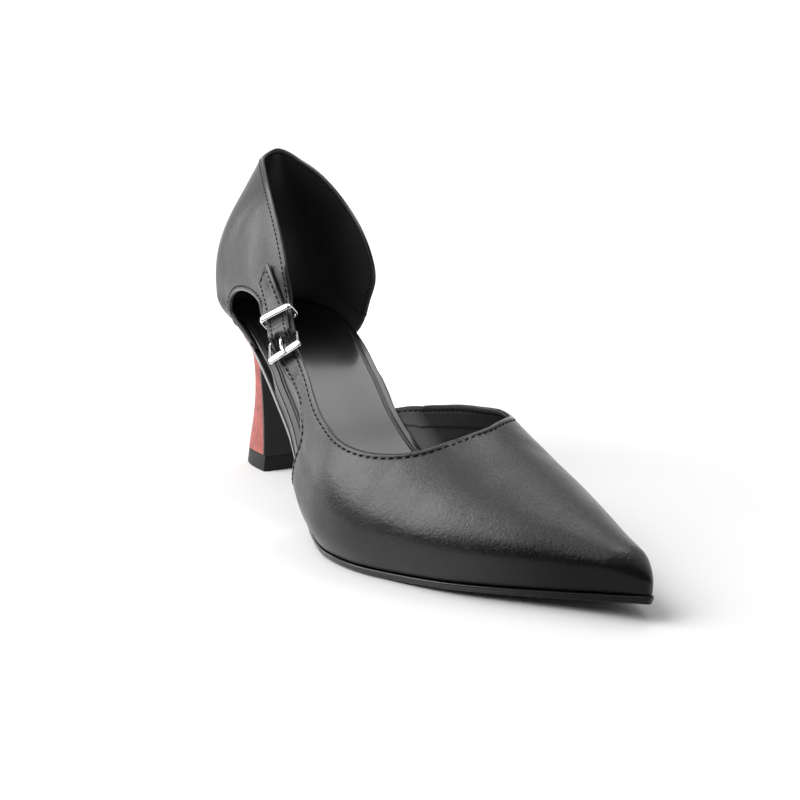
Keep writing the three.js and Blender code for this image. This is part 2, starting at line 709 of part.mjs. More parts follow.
// Vamp sheet: forepart rings, then an outer and an inner side along the throat
function vampSheet() {
  const place = (p) => lastPoint(p.at * LENGTH, p.girth);
  const mix = (a, b, t) => ({
    at: a.at + (b.at - a.at) * t,
    girth: a.girth + (b.girth - a.girth) * t,
  });
  const rear = path(VAMP_REAR, ['at', 'girth']);
  const throatOut = path(THROAT_OUT, ['at', 'girth']);
  const throatIn = path(THROAT_IN, ['at', 'girth']);
  const rearEnd = VAMP_REAR[VAMP_REAR.length - 1];

  const rearLine = [
    ...steps(FLANK_STEPS).map(rear),
    ...steps(STRAP_ACROSS).slice(1).map((t) => mix(rearEnd, STRAP_ROOT, t)),
  ];
  const shares = rearLine.map((p) => p.girth / STRAP_ROOT.girth);
  const outerRow = (t) => {
    const foot = { at: FORE_FOOT + (VAMP_REAR[0].at - FORE_FOOT) * t, girth: 0 };
    const edge = throatOut(t);
    return shares.map((share, k) => {
      const level = mix(foot, edge, share);
      const bulge = rearLine[k].at - mix(VAMP_REAR[0], STRAP_ROOT, share).at;
      const grown = smooth((t - BULGE_FROM) / (1 - BULGE_FROM));
      return { at: level.at + bulge * grown, girth: level.girth };
    });
  };
  const innerRow = (t) => {
    const foot = { at: FORE_FOOT + (WING_FOOT - FORE_FOOT) * t, girth: 1 };
    const edge = throatIn(t);
    return steps(INNER_ACROSS).map((w) => mix(edge, foot, w));
  };
  const outerRows = steps(OUTER_STEPS).map(outerRow);
  const innerRows = steps(INNER_STEPS).map(innerRow);

  const join = [...outerRows[0], ...innerRows[0].slice(1)];
  const fore = steps(FORE_STEPS).map((t) => {
    const back = (1 - Math.cos((t * Math.PI) / 2)) ** FORE_CROWD;
    return join.map((p, i) => {
      const share = i / (join.length - 1);
      return {
        at: 1 + (p.at - 1) * back,
        girth: share + (p.girth - share) * smooth(t * FORE_EVEN),
      };
    });
  });
  const root = outerRows[outerRows.length - 1].slice(FLANK_STEPS).map(place);
  return weld([
    faces(fore.map((row) => row.map(place)), true),
    faces(outerRows.map((row) => row.map(place)), true),
    faces(innerRows.map((row) => row.map(place)), true),
    strapSheet(root),
  ]);
}

// Steps of the quarter's sheets: along the keyhole, round the cup, along the lip,
// up from the cup's middle line to the collar and up from the feather or the lip.
// KEYHOLE_SHARE of the collar's rows stands over the keyhole, the rest over the cup.
const KEYHOLE_STEPS = 16;
const CUP_STEPS = 26;
const LIP_STEPS = 6;
const CUP_RISE = 8;
const FOOT_RISE = 2;
const KEYHOLE_SHARE = 0.385;

// Quarter sheet: buckle strap over the keyhole, heel cup, seat rim and front lip
function quarterSheet() {
  const end = (edge) => QUARTER_END.map((row) => cupPlace(row.on, row[edge]));
  const collar = path([...end('high'), ...COLLAR], ['round', 'up']);
  const keyhole = path([...end('low'), ...KEYHOLE], ['round', 'up']);
  const cupLine = path(CUP_LINE, ['round', 'up']);
  const cupFoot = path(CUP_FOOT, ['round', 'up']);
  const lipTop = path(LIP_TOP, ['round', 'up']);
  const lipFoot = path(LIP_FOOT, ['round', 'up']);
  const blend = (a, b, t) => quarterPoint({
    round: a.round + (b.round - a.round) * t,
    up: a.up + (b.up - a.up) * t,
  });
  const overKeyhole = (t) => collar(KEYHOLE_SHARE * t);
  const overCup = (t) => collar(KEYHOLE_SHARE + (1 - KEYHOLE_SHARE) * t);
  const ruled = (low, high, count, rise) => steps(count)
    .map((t) => steps(rise).map((v) => blend(low(t), high(t), v)));
  return weld([
    faces(ruled(keyhole, overKeyhole, KEYHOLE_STEPS, CUP_RISE), true),
    faces(ruled(cupLine, overCup, CUP_STEPS, CUP_RISE), true),
    faces(ruled(cupFoot, cupLine, CUP_STEPS, FOOT_RISE), true),
    faces(ruled(lipFoot, lipTop, LIP_STEPS, FOOT_RISE)),
  ]);
}

const heelRead = Object.fromEntries(
  ['back', 'breast', 'half'].map((name) => [name, curve(HEEL, 'up', name)]),
);
const SEAT_MIDDLE = soleBottom(HEEL_SETBACK + HEEL_DEPTH / 2);

// Size of the heel at a height near its middle line
function heelSize(height) {
  const up = height / SEAT_MIDDLE;
  return {
    back: HEEL_SETBACK + heelRead.back(up) * HEEL_DEPTH,
    breast: HEEL_SETBACK + heelRead.breast(up) * HEEL_DEPTH,
    half: heelRead.half(up) * HEEL_WIDTH,
  };
}

const HEEL_AROUND = 18;
const HEEL_SQUARE = 0.8;
const HEEL_SWELL = 0.12;
const BREAST_ACROSS = 4;
const HEEL_STEPS = 12;
const TOP_PIECE_STEPS = 2;

// Half ring from the outer breast corner round the back to the inner one
const heelRing = ({ back, breast, half }) => steps(HEEL_AROUND).map((t) => {
  const angle = (t - 0.5) * Math.PI;
  const x = breast - (breast - back) * Math.cos(angle) ** HEEL_SQUARE;
  const swell = 1 + HEEL_SWELL * Math.sin(2 * Math.abs(angle));
  const y = Math.sign(angle) * half * swell * Math.abs(Math.sin(angle)) ** HEEL_SQUARE;
  return new THREE.Vector3(x, y, 0);
});

// Narrow ring of the breast cover, corner to corner along both faces
const coverRing = ({ breast, half }) => {
  const face = (x, flip) => steps(BREAST_ACROSS)
    .map((t) => new THREE.Vector3(x, half * (2 * t - 1) * (flip ? -1 : 1), 0));
  return [...face(breast - BREAST_COVER, false), ...face(breast, true)];
};

// Body between a flat base and a top that may follow the sole, ring by ring
function column(ringAt, base, top, count) {
  const rings = steps(count).map((t) => {
    const level = base + (top(HEEL_SETBACK + HEEL_DEPTH / 2) - base) * t;
    const ring = ringAt(heelSize(level));
    ring.forEach((p) => {
      p.z = base + (top(p.x) - base) * t;
    });
    return ring;
  });
  const cap = (ring) => {
    const half = Math.ceil(ring.length / 2);
    return steps(half - 1).map((t) => {
      const i = Math.round(t * (half - 1));
      return [ring[i], ring[ring.length - 1 - i]];
    });
  };
  return weld([
    faces(rings.map((ring) => [...ring, ring[0]])),
    faces(cap(rings[0])),
    faces(cap(rings[count]), true),
  ]);
}

const heelTop = (x) => soleBottom(x) - SLOPE_SEAM;

function heelBlock() {
  const ring = (size) => heelRing({ ...size, breast: size.breast - BREAST_COVER - SLOPE_SEAM });
  return column(ring, TOP_PIECE + SEAM, heelTop, HEEL_STEPS);
}

function heelBreast() {
  return column(coverRing, TOP_PIECE + SEAM, heelTop, HEEL_STEPS);
}

function topPiece() {
  return column(heelRing, 0, () => TOP_PIECE, TOP_PIECE_STEPS);
}

const BALL_AROUND = 10;
const BALL_RISE = 6;

// Buckle: bars are spanned between flattened balls set in the strap's frame
function ball(frame, place, radii) {
  const at = frame.point.clone()
    .addScaledVector(frame.along, place.along)
    .addScaledVector(frame.width, place.side)
    .addScaledVector(frame.out, place.out);
  const axes = new THREE.Matrix4().makeBasis(
    frame.along.clone().multiplyScalar(radii.along),
    frame.width.clone().multiplyScalar(radii.side),
    frame.out.clone().multiplyScalar(radii.out),
  ).setPosition(at);
  return new THREE.SphereGeometry(1, BALL_AROUND, BALL_RISE).applyMatrix4(axes);
}

const even = (radius) => ({ along: radius, side: radius, out: radius });
const span = (balls) => toSolid(new ConvexGeometry(balls.flatMap((one) => {
  const { position } = one.attributes;
  return Array.from({ length: position.count }, (_, i) => (
    new THREE.Vector3().fromBufferAttribute(position, i)));
})));
const rods = (balls) => Manifold.union(
  balls.slice(1).map((next, i) => span([balls[i], next])),
).simplify(SAME_PLANE);

const strapTop = (on) => strapRead.lift(on) * STRAP_CLIMB + VAMP_WALL;
const hinge = strapFrame(0);
const front = strapFrame(FRAME_REACH / STRAP_REACH);
const PRONG_LIFT = 0.2;
const BAR_RADIUS = BAR / 2;
const PRONG_RADIUS = PRONG / 2;
const LOOP_HALF = -QUARTER_END[0].low * STRAP_WIDTH;
const FRONT_OUT = strapTop((FRAME_REACH - 2 * BAR) / STRAP_REACH) + SEAM + BAR_RADIUS;
const PRONG_OUT = FRONT_OUT + BAR_RADIUS + PRONG_LIFT;

// Frame: hinge bar, two side bars and the wide bar with a notch for the prong
function buckleFrame() {
  const hingeHalf = LOOP_HALF + SEAM + BAR_RADIUS;
  const frontHalf = FRAME_WIDTH / 2 - BAR_RADIUS;
  const rod = even(BAR_RADIUS);
  const wide = { along: BAR, side: BAR_RADIUS, out: BAR_RADIUS };
  const back = (side) => ball(hinge, { along: 0, side, out: HINGE_OUT }, rod);
  const fore = (side, radii) => ball(front, { along: 0, side, out: FRONT_OUT }, radii);
  const sides = [fore(-frontHalf, rod), back(-hingeHalf), back(hingeHalf), fore(frontHalf, rod)];
  const notch = span([-3 * BAR, 3 * BAR].map((along) => (
    ball(front, { along, side: 0, out: PRONG_OUT }, even(PRONG_RADIUS + SEAM)))));
  return rods([fore(-frontHalf, wide), fore(frontHalf, wide)])
    .add(rods(sides))
    .subtract(notch)
    .simplify(SAME_PLANE);
}

const KEEPER_BAR = 2.4;

// Keeper: a wide bar over the strap and a thin rod round the back of the quarter
function buckleKeeper() {
  const on = -KEEPER_BACK / STRAP_REACH;
  const frame = strapFrame(on);
  const edge = (name) => curve([...QUARTER_END].reverse(), 'on', name)(on) * STRAP_WIDTH;
  const low = edge('low') - KEEPER_PLAY - KEEPER_ROD;
  const high = edge('high') + KEEPER_PLAY + KEEPER_ROD;
  const above = strapTop(on) + 2 * SEAM + KEEPER_ROD;
  const below = -(QUARTER_WALL + KEEPER_ROOM + KEEPER_ROD);
  const rod = even(KEEPER_ROD);
  const wide = { along: KEEPER_ROD * KEEPER_BAR, side: KEEPER_ROD, out: KEEPER_ROD };
  const corner = (side, out, radii) => ball(frame, { along: 0, side, out }, radii);
  const hoop = [[low, above], [low, below], [high, below], [high, above]]
    .map(([side, out]) => corner(side, out, rod));
  return rods([corner(low, above, wide), corner(high, above, wide)])
    .add(rods(hoop))
    .simplify(SAME_PLANE);
}

const CURL_FROM = 290;
const CURL_SWEEP = 215;
const CURL_STEPS = 8;
const PRONG_TIP = [-1.5, 0, 1.2];

// Prong: a hook round the hinge bar, then up through the strap to the wide bar
function prong() {
  const reach = BAR_RADIUS + SEAM + PRONG_RADIUS;
  const curl = steps(CURL_STEPS).map((t) => {
    const angle = THREE.MathUtils.degToRad(CURL_FROM - CURL_SWEEP * t);
    return { along: reach * Math.cos(angle), out: HINGE_OUT + reach * Math.sin(angle) };
  });
  const pin = even(PRONG_RADIUS);
  const place = (frame) => ({ along, out }) => ball(frame, { along, side: 0, out }, pin);
  return rods([
    ...curl.map(place(hinge)),
    ...PRONG_RISE.map(place(hinge)),
    ...PRONG_TIP.map((along) => place(front)({ along, out: PRONG_OUT })),
  ]);
}

const LOOP_AROUND = 20;
const SLOT_END = 6;
const SLOT_DEPTH = 4;
const PUNCH_ENDS = [1.2, 3.8];
const PUNCH_DEPTH = 8;

// Quarter with its rolled end round the hinge bar, slotted for the prong
function quarterSolid() {
  const tube = (radius, half) => {
    const axes = new THREE.Matrix4()
      .makeBasis(hinge.out, hinge.width, hinge.along.clone().negate())
      .setPosition(hinge.point.clone().addScaledVector(hinge.out, HINGE_OUT));
    const round = new THREE.CylinderGeometry(radius, radius, 2 * half, LOOP_AROUND);
    return toSolid(round.applyMatrix4(axes));
  };
  const bore = BAR_RADIUS + SEAM;
  const slotEnds = [-BAR_RADIUS - PRONG - SEAM + PRONG_RADIUS, SLOT_END];
  const slot = span(slotEnds.flatMap((along) => [-SLOT_DEPTH, SLOT_DEPTH].map((out) => (
    ball(hinge, { along, side: 0, out }, even(PRONG_RADIUS + SEAM))))));
  return toSolid(wallFrom(quarterSheet(), QUARTER_WALL))
    .add(tube(bore + LOOP_WALL, LOOP_HALF))
    .subtract(tube(bore, 2 * LOOP_HALF))
    .subtract(slot)
    .simplify(SAME_PLANE);
}

// Vamp and strap in one, with the strap's punched hole for the prong
function vampSolid() {
  const punch = span(PUNCH_ENDS.flatMap((along) => [0, PUNCH_DEPTH].map((out) => (
    ball(hinge, { along, side: 0, out }, even(PRONG_RADIUS + SEAM))))));
  return toSolid(wallFrom(vampSheet(), VAMP_WALL)).subtract(punch).simplify(SAME_PLANE);
}

const material = (color, roughness, metalness = 0) => (
  new THREE.MeshStandardMaterial({ color, roughness, metalness }));

const black = material(0x1a1a1b, 0.42);
const lining = material(0x161616, 0.6);
const coral = material(0xc5837a, 0.5);
const soleBlack = material(0x202020, 0.5);
const silver = material(0xd8d8d6, 0.15, 1);

const shoe = new THREE.Group();
function add(name, geometry, look) {
  const mesh = new THREE.Mesh(geometry, look);
  mesh.name = name;
  shoe.add(mesh);
}

add('outsole', outsole(), soleBlack);
add('insole', insole(), lining);
add('vamp', fromSolid(vampSolid()), black);
add('quarter', fromSolid(quarterSolid()), black);
add('heel', heelBlock(), coral);
add('heel_breast', heelBreast(), soleBlack);
add('top_piece', topPiece(), soleBlack);
add('buckle_frame', fromSolid(buckleFrame()), silver);
add('buckle_keeper', fromSolid(buckleKeeper()), silver);
add('buckle_prong', fromSolid(prong()), silver);

const box = new THREE.Box3().setFromObject(shoe);
const middle = box.getCenter(new THREE.Vector3());
shoe.children.forEach((mesh) => mesh.position.set(-middle.x, -middle.y, -box.min.z));
shoe.updateMatrixWorld(true);

export default shoe;
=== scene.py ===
# Pointed pump, right shoe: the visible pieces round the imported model, and the studio.
# The shoe is laid out in millimetres as the model is, heel back at x = 0 and the
# floor at z = 0, with +X to the toe and +Y to the inner side. to_frame moves it.
import json
import math

import bmesh
import bpy
import numpy as np
from mathutils import Matrix, Vector
from mathutils.kdtree import KDTree

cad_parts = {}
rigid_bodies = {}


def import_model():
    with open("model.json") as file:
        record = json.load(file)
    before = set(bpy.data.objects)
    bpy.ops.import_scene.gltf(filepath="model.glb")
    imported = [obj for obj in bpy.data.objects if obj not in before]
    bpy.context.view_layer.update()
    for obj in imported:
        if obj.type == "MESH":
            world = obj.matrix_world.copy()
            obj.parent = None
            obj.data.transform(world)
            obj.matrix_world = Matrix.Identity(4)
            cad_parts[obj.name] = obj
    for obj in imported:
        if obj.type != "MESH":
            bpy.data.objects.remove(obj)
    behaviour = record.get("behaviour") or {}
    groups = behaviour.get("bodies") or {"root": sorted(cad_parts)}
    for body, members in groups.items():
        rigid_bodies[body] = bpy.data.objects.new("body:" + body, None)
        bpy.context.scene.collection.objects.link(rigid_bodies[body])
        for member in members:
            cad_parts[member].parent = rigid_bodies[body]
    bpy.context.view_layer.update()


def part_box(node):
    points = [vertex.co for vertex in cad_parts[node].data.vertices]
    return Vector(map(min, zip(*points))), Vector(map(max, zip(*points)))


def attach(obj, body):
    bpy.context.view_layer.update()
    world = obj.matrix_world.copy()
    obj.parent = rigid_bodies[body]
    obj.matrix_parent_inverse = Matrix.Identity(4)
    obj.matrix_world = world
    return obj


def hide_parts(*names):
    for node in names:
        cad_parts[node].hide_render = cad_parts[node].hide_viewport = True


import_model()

# The model's own sizes
LENGTH = 246.0
BALL_WIDTH = 75.0
SEAT_WIDTH = 48.0
HEEL_HEIGHT = 71.0
FLANK_HEIGHT = 18.0
CROWN_HEIGHT = 90.0
TOE_SWING = 13.5
BACK_LEAN = 26.0
BACK_HEIGHT = 82.0
CAP_RADIUS = 30.0
TOE_CAP = 9.0
TOE_NOSE = 1.6
OUTSOLE = 2.3
INSOLE = 3.6
VAMP_WALL = 1.5
QUARTER_WALL = 1.6
SEAM = 0.3
SLOPE_SEAM = 0.45
INSOLE_INSET = 3.4
SOLE_MARGIN = 0.4
TOP_PIECE = 7.0
BREAST_COVER = 1.6
HEEL_DEPTH = 35.1
HEEL_WIDTH = 31.0
HEEL_SETBACK = 0.5
HINGE_AT = 102.5
HINGE_RISE = 37.1
STRAP_FALL = math.radians(43.8)
STRAP_WIDTH = 7.8
STRAP_CLIMB = 2.85
STRAP_REACH = 33.0
STRAP_SLANT = 0.45
KEEPER_BACK = 10.4
FRAME_REACH = 9.0
FRAME_WIDTH = 13.4
KEEPER_PLAY = 0.6
KEEPER_ROD = 0.6
KEEPER_ROOM = 1.6
HINGE_OUT = 0.2
BAR = 1.6
LOOP_WALL = 0.8
PRONG = 1.2
# How the last widens from seat to ball, and how its nose rounds off
WIDEN_FROM = 0.15
WIDEN_OVER = 0.4
NOSE_ROUND = 0.8
NOSE_FLANK = 0.55 * TOE_NOSE
FLANK_GIRTH = 0.12
CROWN_ROUND = 0.95
CAP_ROUND = 0.92
# Where the strap lifts off the last: along it, then to its sides in millimetres
HOLD_TOP = -0.85
HOLD_IN = 0.45
HOLD_FOOT = 0.8
HOLD_OUT = 0.35
HOLD_SIDE = 16.0
HOLD_FADE = 8.0
HEEL_SQUARE = 0.8
HEEL_SWELL = 0.12
KEYHOLE_SHARE = 0.385

PROFILE = np.array([
    (0, 1), (0.08, 0.943), (0.16, 0.882), (0.22, 0.8), (0.28, 0.69), (0.34, 0.55), (0.4, 0.4),
    (0.46, 0.245), (0.52, 0.115), (0.57, 0.04), (0.62, 0.004), (0.64, 0), (0.7, 0), (0.74, 0.003),
    (0.8, 0.012), (0.88, 0.028), (0.94, 0.047), (1, 0.073),
])
# at, outer and inner feather, outer and inner widest, flank, crown, ridge, lean
SECTIONS = np.array([
    (0, 0.48, 0.47, 0.61, 0.57, 0.52, 0.91, 0, 1.35),
    (0.05, 0.515, 0.475, 0.635, 0.58, 0.52, 0.92, 0, 1.35),
    (0.1, 0.54, 0.48, 0.65, 0.575, 0.52, 0.94, 0, 1.35),
    (0.18, 0.525, 0.48, 0.65, 0.56, 0.52, 0.98, 0, 1.35),
    (0.26, 0.5, 0.42, 0.605, 0.505, 0.6, 1, 0.07, 1.38),
    (0.34, 0.45, 0.335, 0.53, 0.43, 0.7, 0.955, 0.15, 1.45),
    (0.42, 0.415, 0.272, 0.49, 0.365, 0.72, 0.87, 0.3, 1.5),
    (0.5, 0.445, 0.293, 0.507, 0.365, 0.67, 0.77, 0.44, 1.4),
    (0.58, 0.5, 0.4, 0.553, 0.45, 0.61, 0.64, 0.56, 1.2),
    (0.64, 0.52, 0.47, 0.567, 0.51, 0.555, 0.55, 0.67, 1.08),
    (0.7, 0.488, 0.49, 0.53, 0.52, 0.5, 0.452, 0.74, 1.08),
    (0.76, 0.4, 0.47, 0.44, 0.5, 0.47, 0.365, 0.8, 1.1),
    (0.82, 0.29, 0.425, 0.33, 0.452, 0.44, 0.29, 0.88, 1.12),
    (0.88, 0.135, 0.36, 0.178, 0.38, 0.42, 0.222, 0.92, 1.15),
    (0.93, 0, 0.295, 0.035, 0.31, 0.39, 0.166, 0.94, 1.15),
    (0.97, -0.1, 0.249, -0.067, 0.259, 0.35, 0.122, 0.95, 1.1),
    (1, -0.144, 0.218, -0.134, 0.222, 0.28, 0.08, 0.965, 1),
])
# up, fore, plan radius
BACK_SEAM = np.array([
    (0, 0.115, 1), (0.1, 0.023, 1), (0.22, -0.038, 1), (0.37, 0.02, 1.05), (0.55, 0.25, 1.3),
    (0.68, 0.48, 1.6), (0.82, 0.71, 1.9), (1, 1, 2.2),
])
# at, girth
VAMP_REAR = np.array([
    (0.515, 0), (0.518, 0.05), (0.5258, 0.1), (0.537, 0.137), (0.546, 0.167), (0.548, 0.188),
    (0.535, 0.202), (0.516, 0.208),
])
STRAP_ROOT = np.array((0.528, 0.245))
THROAT_OUT = np.array([
    (0.7265, 0.42), (0.7235, 0.372), (0.715, 0.341), (0.7005, 0.315), (0.6815, 0.294),
    (0.657, 0.278), (0.627, 0.268), (0.5945, 0.26), (0.559, 0.251), (0.528, 0.245),
])
THROAT_IN = np.array([
    (0.7265, 0.42), (0.7258, 0.442), (0.7225, 0.48), (0.713, 0.534), (0.6955, 0.597),
    (0.6675, 0.664), (0.629, 0.699), (0.575, 0.755), (0.503, 0.827), (0.464, 0.862),
    (0.451, 0.873), (0.44, 0.886), (0.426, 0.9165), (0.412, 0.947), (0.4, 0.975),
    (0.3915, 0.994),
])
WING_FOOT = 0.3885
FORE_FOOT = 0.765
# on, off, half, lift, twist
STRAP = np.array([
    (-0.96, 0, 0.5, 0.16, 18), (-0.8, 0, 0.5, 0.16, 22), (-0.6, 0, 0.5, 0.16, 26),
    (-0.42, 0, 0.5, 0.16, 30), (-0.26, 0, 0.5, 0.206, 30), (-0.14, 0, 0.5, 0.75, 30),
    (-0.05, 0, 0.5, 1, 30), (0.04, 0, 0.5, 0.98, 30), (0.12, 0.01, 0.5, 0.387, 29),
    (0.2, 0.02, 0.5, 0.043, 27), (0.28, 0.05, 0.5, -0.215, 25), (0.4, 0.14, 0.5, -0.404, 18),
    (0.56, 0.285, 0.475, -0.516, 8), (0.74, 0.425, 0.425, -0.533, 0),
])
PRONG_RISE = [(1.3, 2.5), (2.7, 3.7), (4.2, 4.4)]
# on, low, high
QUARTER_END = np.array([
    (0.045, -0.55, 0.55), (-0.14, -0.562, 0.58), (-0.32, -0.612, 0.687), (-0.56, -0.82, 1.01),
])
# round, up
COLLAR = np.array([
    (-0.874, 0.66), (-0.819, 0.704), (-0.755, 0.749), (-0.67, 0.798), (-0.561, 0.829),
    (-0.431, 0.843), (-0.309, 0.85), (-0.194, 0.857), (-0.07, 0.874), (0.021, 0.884),
    (0.086, 0.872), (0.139, 0.839), (0.19, 0.799), (0.233, 0.741), (0.272, 0.665),
    (0.309, 0.602), (0.334, 0.522), (0.345, 0.422), (0.333, 0.317), (0.31, 0.2), (0.293, 0.12),
])
KEYHOLE = np.array([
    (-0.785, 0.383), (-0.745, 0.366), (-0.695, 0.334), (-0.64, 0.292), (-0.589, 0.247),
    (-0.547, 0.2), (-0.52, 0.158), (-0.503, 0.1),
])
CUP_LINE = np.array([
    (-0.503, 0.1), (-0.22, 0.1), (0, 0.1), (0.09, 0.1), (0.18, 0.1), (0.25, 0.1), (0.287, 0.1),
])
CUP_FOOT = np.array([(-0.503, 0), (-0.22, 0), (0, 0), (0.09, 0), (0.18, 0), (0.24, 0), (0.268, 0)])
LIP_TOP = np.array([(-0.503, 0.1), (-0.511, 0.081), (-0.532, 0.06), (-0.565, 0.038), (-0.61, 0.019)])
LIP_FOOT = np.array([(-0.503, 0), (-0.526, 0), (-0.552, 0), (-0.583, 0), (-0.617, 0)])
# up, back, breast, half
HEEL = np.array([
    (0, -0.01, 1.04, 0.538), (0.105, 0.025, 1.03, 0.507), (0.21, 0.085, 0.96, 0.468),
    (0.36, 0.214, 0.895, 0.435), (0.51, 0.316, 0.84, 0.419), (0.66, 0.38, 0.826, 0.428),
    (0.79, 0.357, 0.926, 0.473), (0.9, 0.254, 1.11, 0.6), (1, 0.1, 1.353, 0.71),
])


def curve(rows, column):
    """Smooth curve of a table's column over its first one."""
    x, y = rows[:, 0], rows[:, column]
    step = np.diff(x)
    rise = np.diff(y) / step
    slope = np.zeros(len(x))
    slope[1:-1] = (rise[:-1] * step[1:] + rise[1:] * step[:-1]) / (step[:-1] + step[1:])
    slope[0] = 1.5 * rise[0] - 0.5 * slope[1]
    slope[-1] = 1.5 * rise[-1] - 0.5 * slope[-2]

    def read(at):
        here = np.clip(np.asarray(at, float), x[0], x[-1])
        i = np.clip(np.searchsorted(x, here, side="left") - 1, 0, len(step) - 1)
        t = (here - x[i]) / step[i]
        s = 1 - t
        return ((1 + 2 * t) * s * s * y[i] + t * s * s * step[i] * slope[i]
                + t * t * (3 - 2 * t) * y[i + 1] - t * t * s * step[i] * slope[i + 1])
    return read


def path(rows):
    """The rows read as a path of 0 to 1 that gives both columns."""
    numbered = np.column_stack([np.linspace(0, 1, len(rows)), rows])
    columns = [curve(numbered, i) for i in range(1, numbered.shape[1])]
    return lambda t: np.stack([read(t) for read in columns], -1)


def smooth(value):
    t = np.clip(value, 0, 1)
    return t * t * (3 - 2 * t)


def unit(v):
    return v / np.maximum(np.linalg.norm(v, axis=-1, keepdims=True), 1e-12)


profile_up = curve(PROFILE, 1)


def sole_bottom(x):
    return np.maximum(HEEL_HEIGHT * profile_up(np.asarray(x) / LENGTH), 0)


def feather(x):
    return sole_bottom(x) + OUTSOLE + SLOPE_SEAM


HINGE_UP = float(feather(HINGE_AT)) + HINGE_RISE
section_read = [curve(SECTIONS, i) for i in range(1, 9)]


def section(x):
    at = np.clip(np.asarray(x, float) / LENGTH, 0, 1)
    width = SEAT_WIDTH + (BALL_WIDTH - SEAT_WIDTH) * smooth((at - WIDEN_FROM) / WIDEN_OVER)
    foot_out, foot_in, wide_out, wide_in, flank, crown, ridge, lean = [r(at) for r in section_read]
    lines = [-foot_out * width, foot_in * width, -wide_out * width, wide_in * width, ridge * TOE_SWING]
    into = np.clip((at * LENGTH - (LENGTH - TOE_CAP)) / TOE_CAP, 0, 1)
    middle = 0.5 * (lines[0] + lines[1])
    round_off = np.sqrt(1 - into * into)
    lines = [middle + (y - middle) * round_off for y in lines]
    crown = TOE_NOSE + (crown * CROWN_HEIGHT - TOE_NOSE) * round_off ** NOSE_ROUND
    flank = NOSE_FLANK + (flank * FLANK_HEIGHT - NOSE_FLANK) * round_off
    return (*lines, flank, crown, lean)


def last_point(x, girth):
    """Outside of the upper at x and girth: 0 outer feather, 0.5 ridge, 1 inner feather."""
    x, girth = np.broadcast_arrays(np.asarray(x, float), np.asarray(girth, float))
    foot_out, foot_in, wide_out, wide_in, ridge, flank, crown, lean = section(x)
    outer = girth < 0.5
    start = np.where(outer, girth, 1 - girth)
    foot = np.where(outer, foot_out, foot_in)
    wide = np.where(outer, wide_out, wide_in)
    q = np.clip(start / FLANK_GIRTH, 0, 1)
    low_y = foot + (wide - foot) * (1 - (1 - q) ** 2)
    angle = np.clip((start - FLANK_GIRTH) / (1 - 2 * FLANK_GIRTH), 0, 0.5) * math.pi
    high_y = ridge + (wide - ridge) * np.abs(np.cos(angle)) ** lean
    high_z = flank + (crown - flank) * np.abs(np.sin(angle)) ** CROWN_ROUND
    low = start < FLANK_GIRTH
    up = np.where(low, flank * q, high_z)
    return np.stack([x, np.where(low, low_y, high_y), feather(x) + up], -1)


def side_y(x, height, outer):
    """The same outside read by height above the feather line."""
    foot_out, foot_in, wide_out, wide_in, ridge, flank, crown, lean = section(x)
    foot = np.where(outer, foot_out, foot_in)
    wide = np.where(outer, wide_out, wide_in)
    q = np.clip(height / flank, 0, 1)
    low = foot + (wide - foot) * (1 - (1 - q) ** 2)
    sine = np.clip((height - flank) / (crown - flank), 0, 1) ** (1 / CROWN_ROUND)
    return np.where(height < flank, low, ridge + (wide - ridge) * np.sqrt(1 - sine * sine) ** lean)


seam_fore = curve(BACK_SEAM, 1)
seam_round = curve(BACK_SEAM, 2)


def back_seam(height):
    return BACK_LEAN * seam_fore(height / BACK_HEIGHT)


def cap_radius(height):
    return CAP_RADIUS * seam_round(height / BACK_HEIGHT)


def cup_point(run, height):
    """Outside of the heel cup: run is the way round from the back seam, outer negative."""
    radius = cap_radius(height)
    turn = np.minimum(np.abs(run) / radius, math.pi / 2)
    straight = np.maximum(np.abs(run) - radius * math.pi / 2, 0)
    x = back_seam(height) + radius * (1 - np.cos(turn)) + straight
    y = side_y(x, height, run < 0) * np.sin(turn) ** CAP_ROUND
    return np.stack([x, y, feather(x) + height], -1)


def outer_face(x, z):
    """A point of the outer side by x and z, and its outward normal."""

    def at(u, w):
        return np.stack([u, side_y(u, w - feather(u), True), w], -1)

    x, z = np.broadcast_arrays(np.asarray(x, float), np.asarray(z, float))
    normal = unit(np.cross(at(x + 0.5, z) - at(x - 0.5, z), at(x, z + 0.5) - at(x, z - 0.5)))
    return at(x, z), np.where(normal[..., 1:2] > 0, -normal, normal)


DOWN = np.array((math.cos(STRAP_FALL), -math.sin(STRAP_FALL)))
OVER = np.array((math.sin(STRAP_FALL), math.cos(STRAP_FALL)))
HINGE = np.array((HINGE_AT, HINGE_UP))
strap_off, strap_half, strap_lift, strap_twist = [curve(STRAP, i) for i in range(1, 5)]


def strap_centre(on, side=0.0):
    on = np.asarray(on, float)[..., None]
    side = np.asarray(side, float)[..., None]
    return HINGE + DOWN * on * STRAP_REACH + OVER * (strap_off(on) * STRAP_WIDTH + side)


def strap_frame(on):
    """Point, direction, width and outward axes of the strap at its middle line."""

    def spot(at):
        centre = strap_centre(at)
        return outer_face(centre[..., 0], centre[..., 1])

    on = np.asarray(on, float)
    point, normal = spot(on)
    along = unit(spot(on + 0.02)[0] - spot(on - 0.02)[0])
    out = unit(normal - along * (normal * along).sum(-1, keepdims=True))
    width = np.cross(out, along)
    turn = np.radians(-strap_twist(on))[..., None]
    turned = np.cos(turn) * width + np.sin(turn) * np.cross(along, width)
    return point, along, turned, np.cos(turn) * out + np.sin(turn) * np.cross(along, out)


def strap_hold(on, side):
    """How firmly a place follows the strap's own frame, 0 to 1."""
    along = smooth((on - HOLD_TOP) / HOLD_IN) * smooth((HOLD_FOOT - on) / HOLD_OUT)
    return along * smooth((HOLD_SIDE + HOLD_FADE - np.abs(side)) / HOLD_FADE)


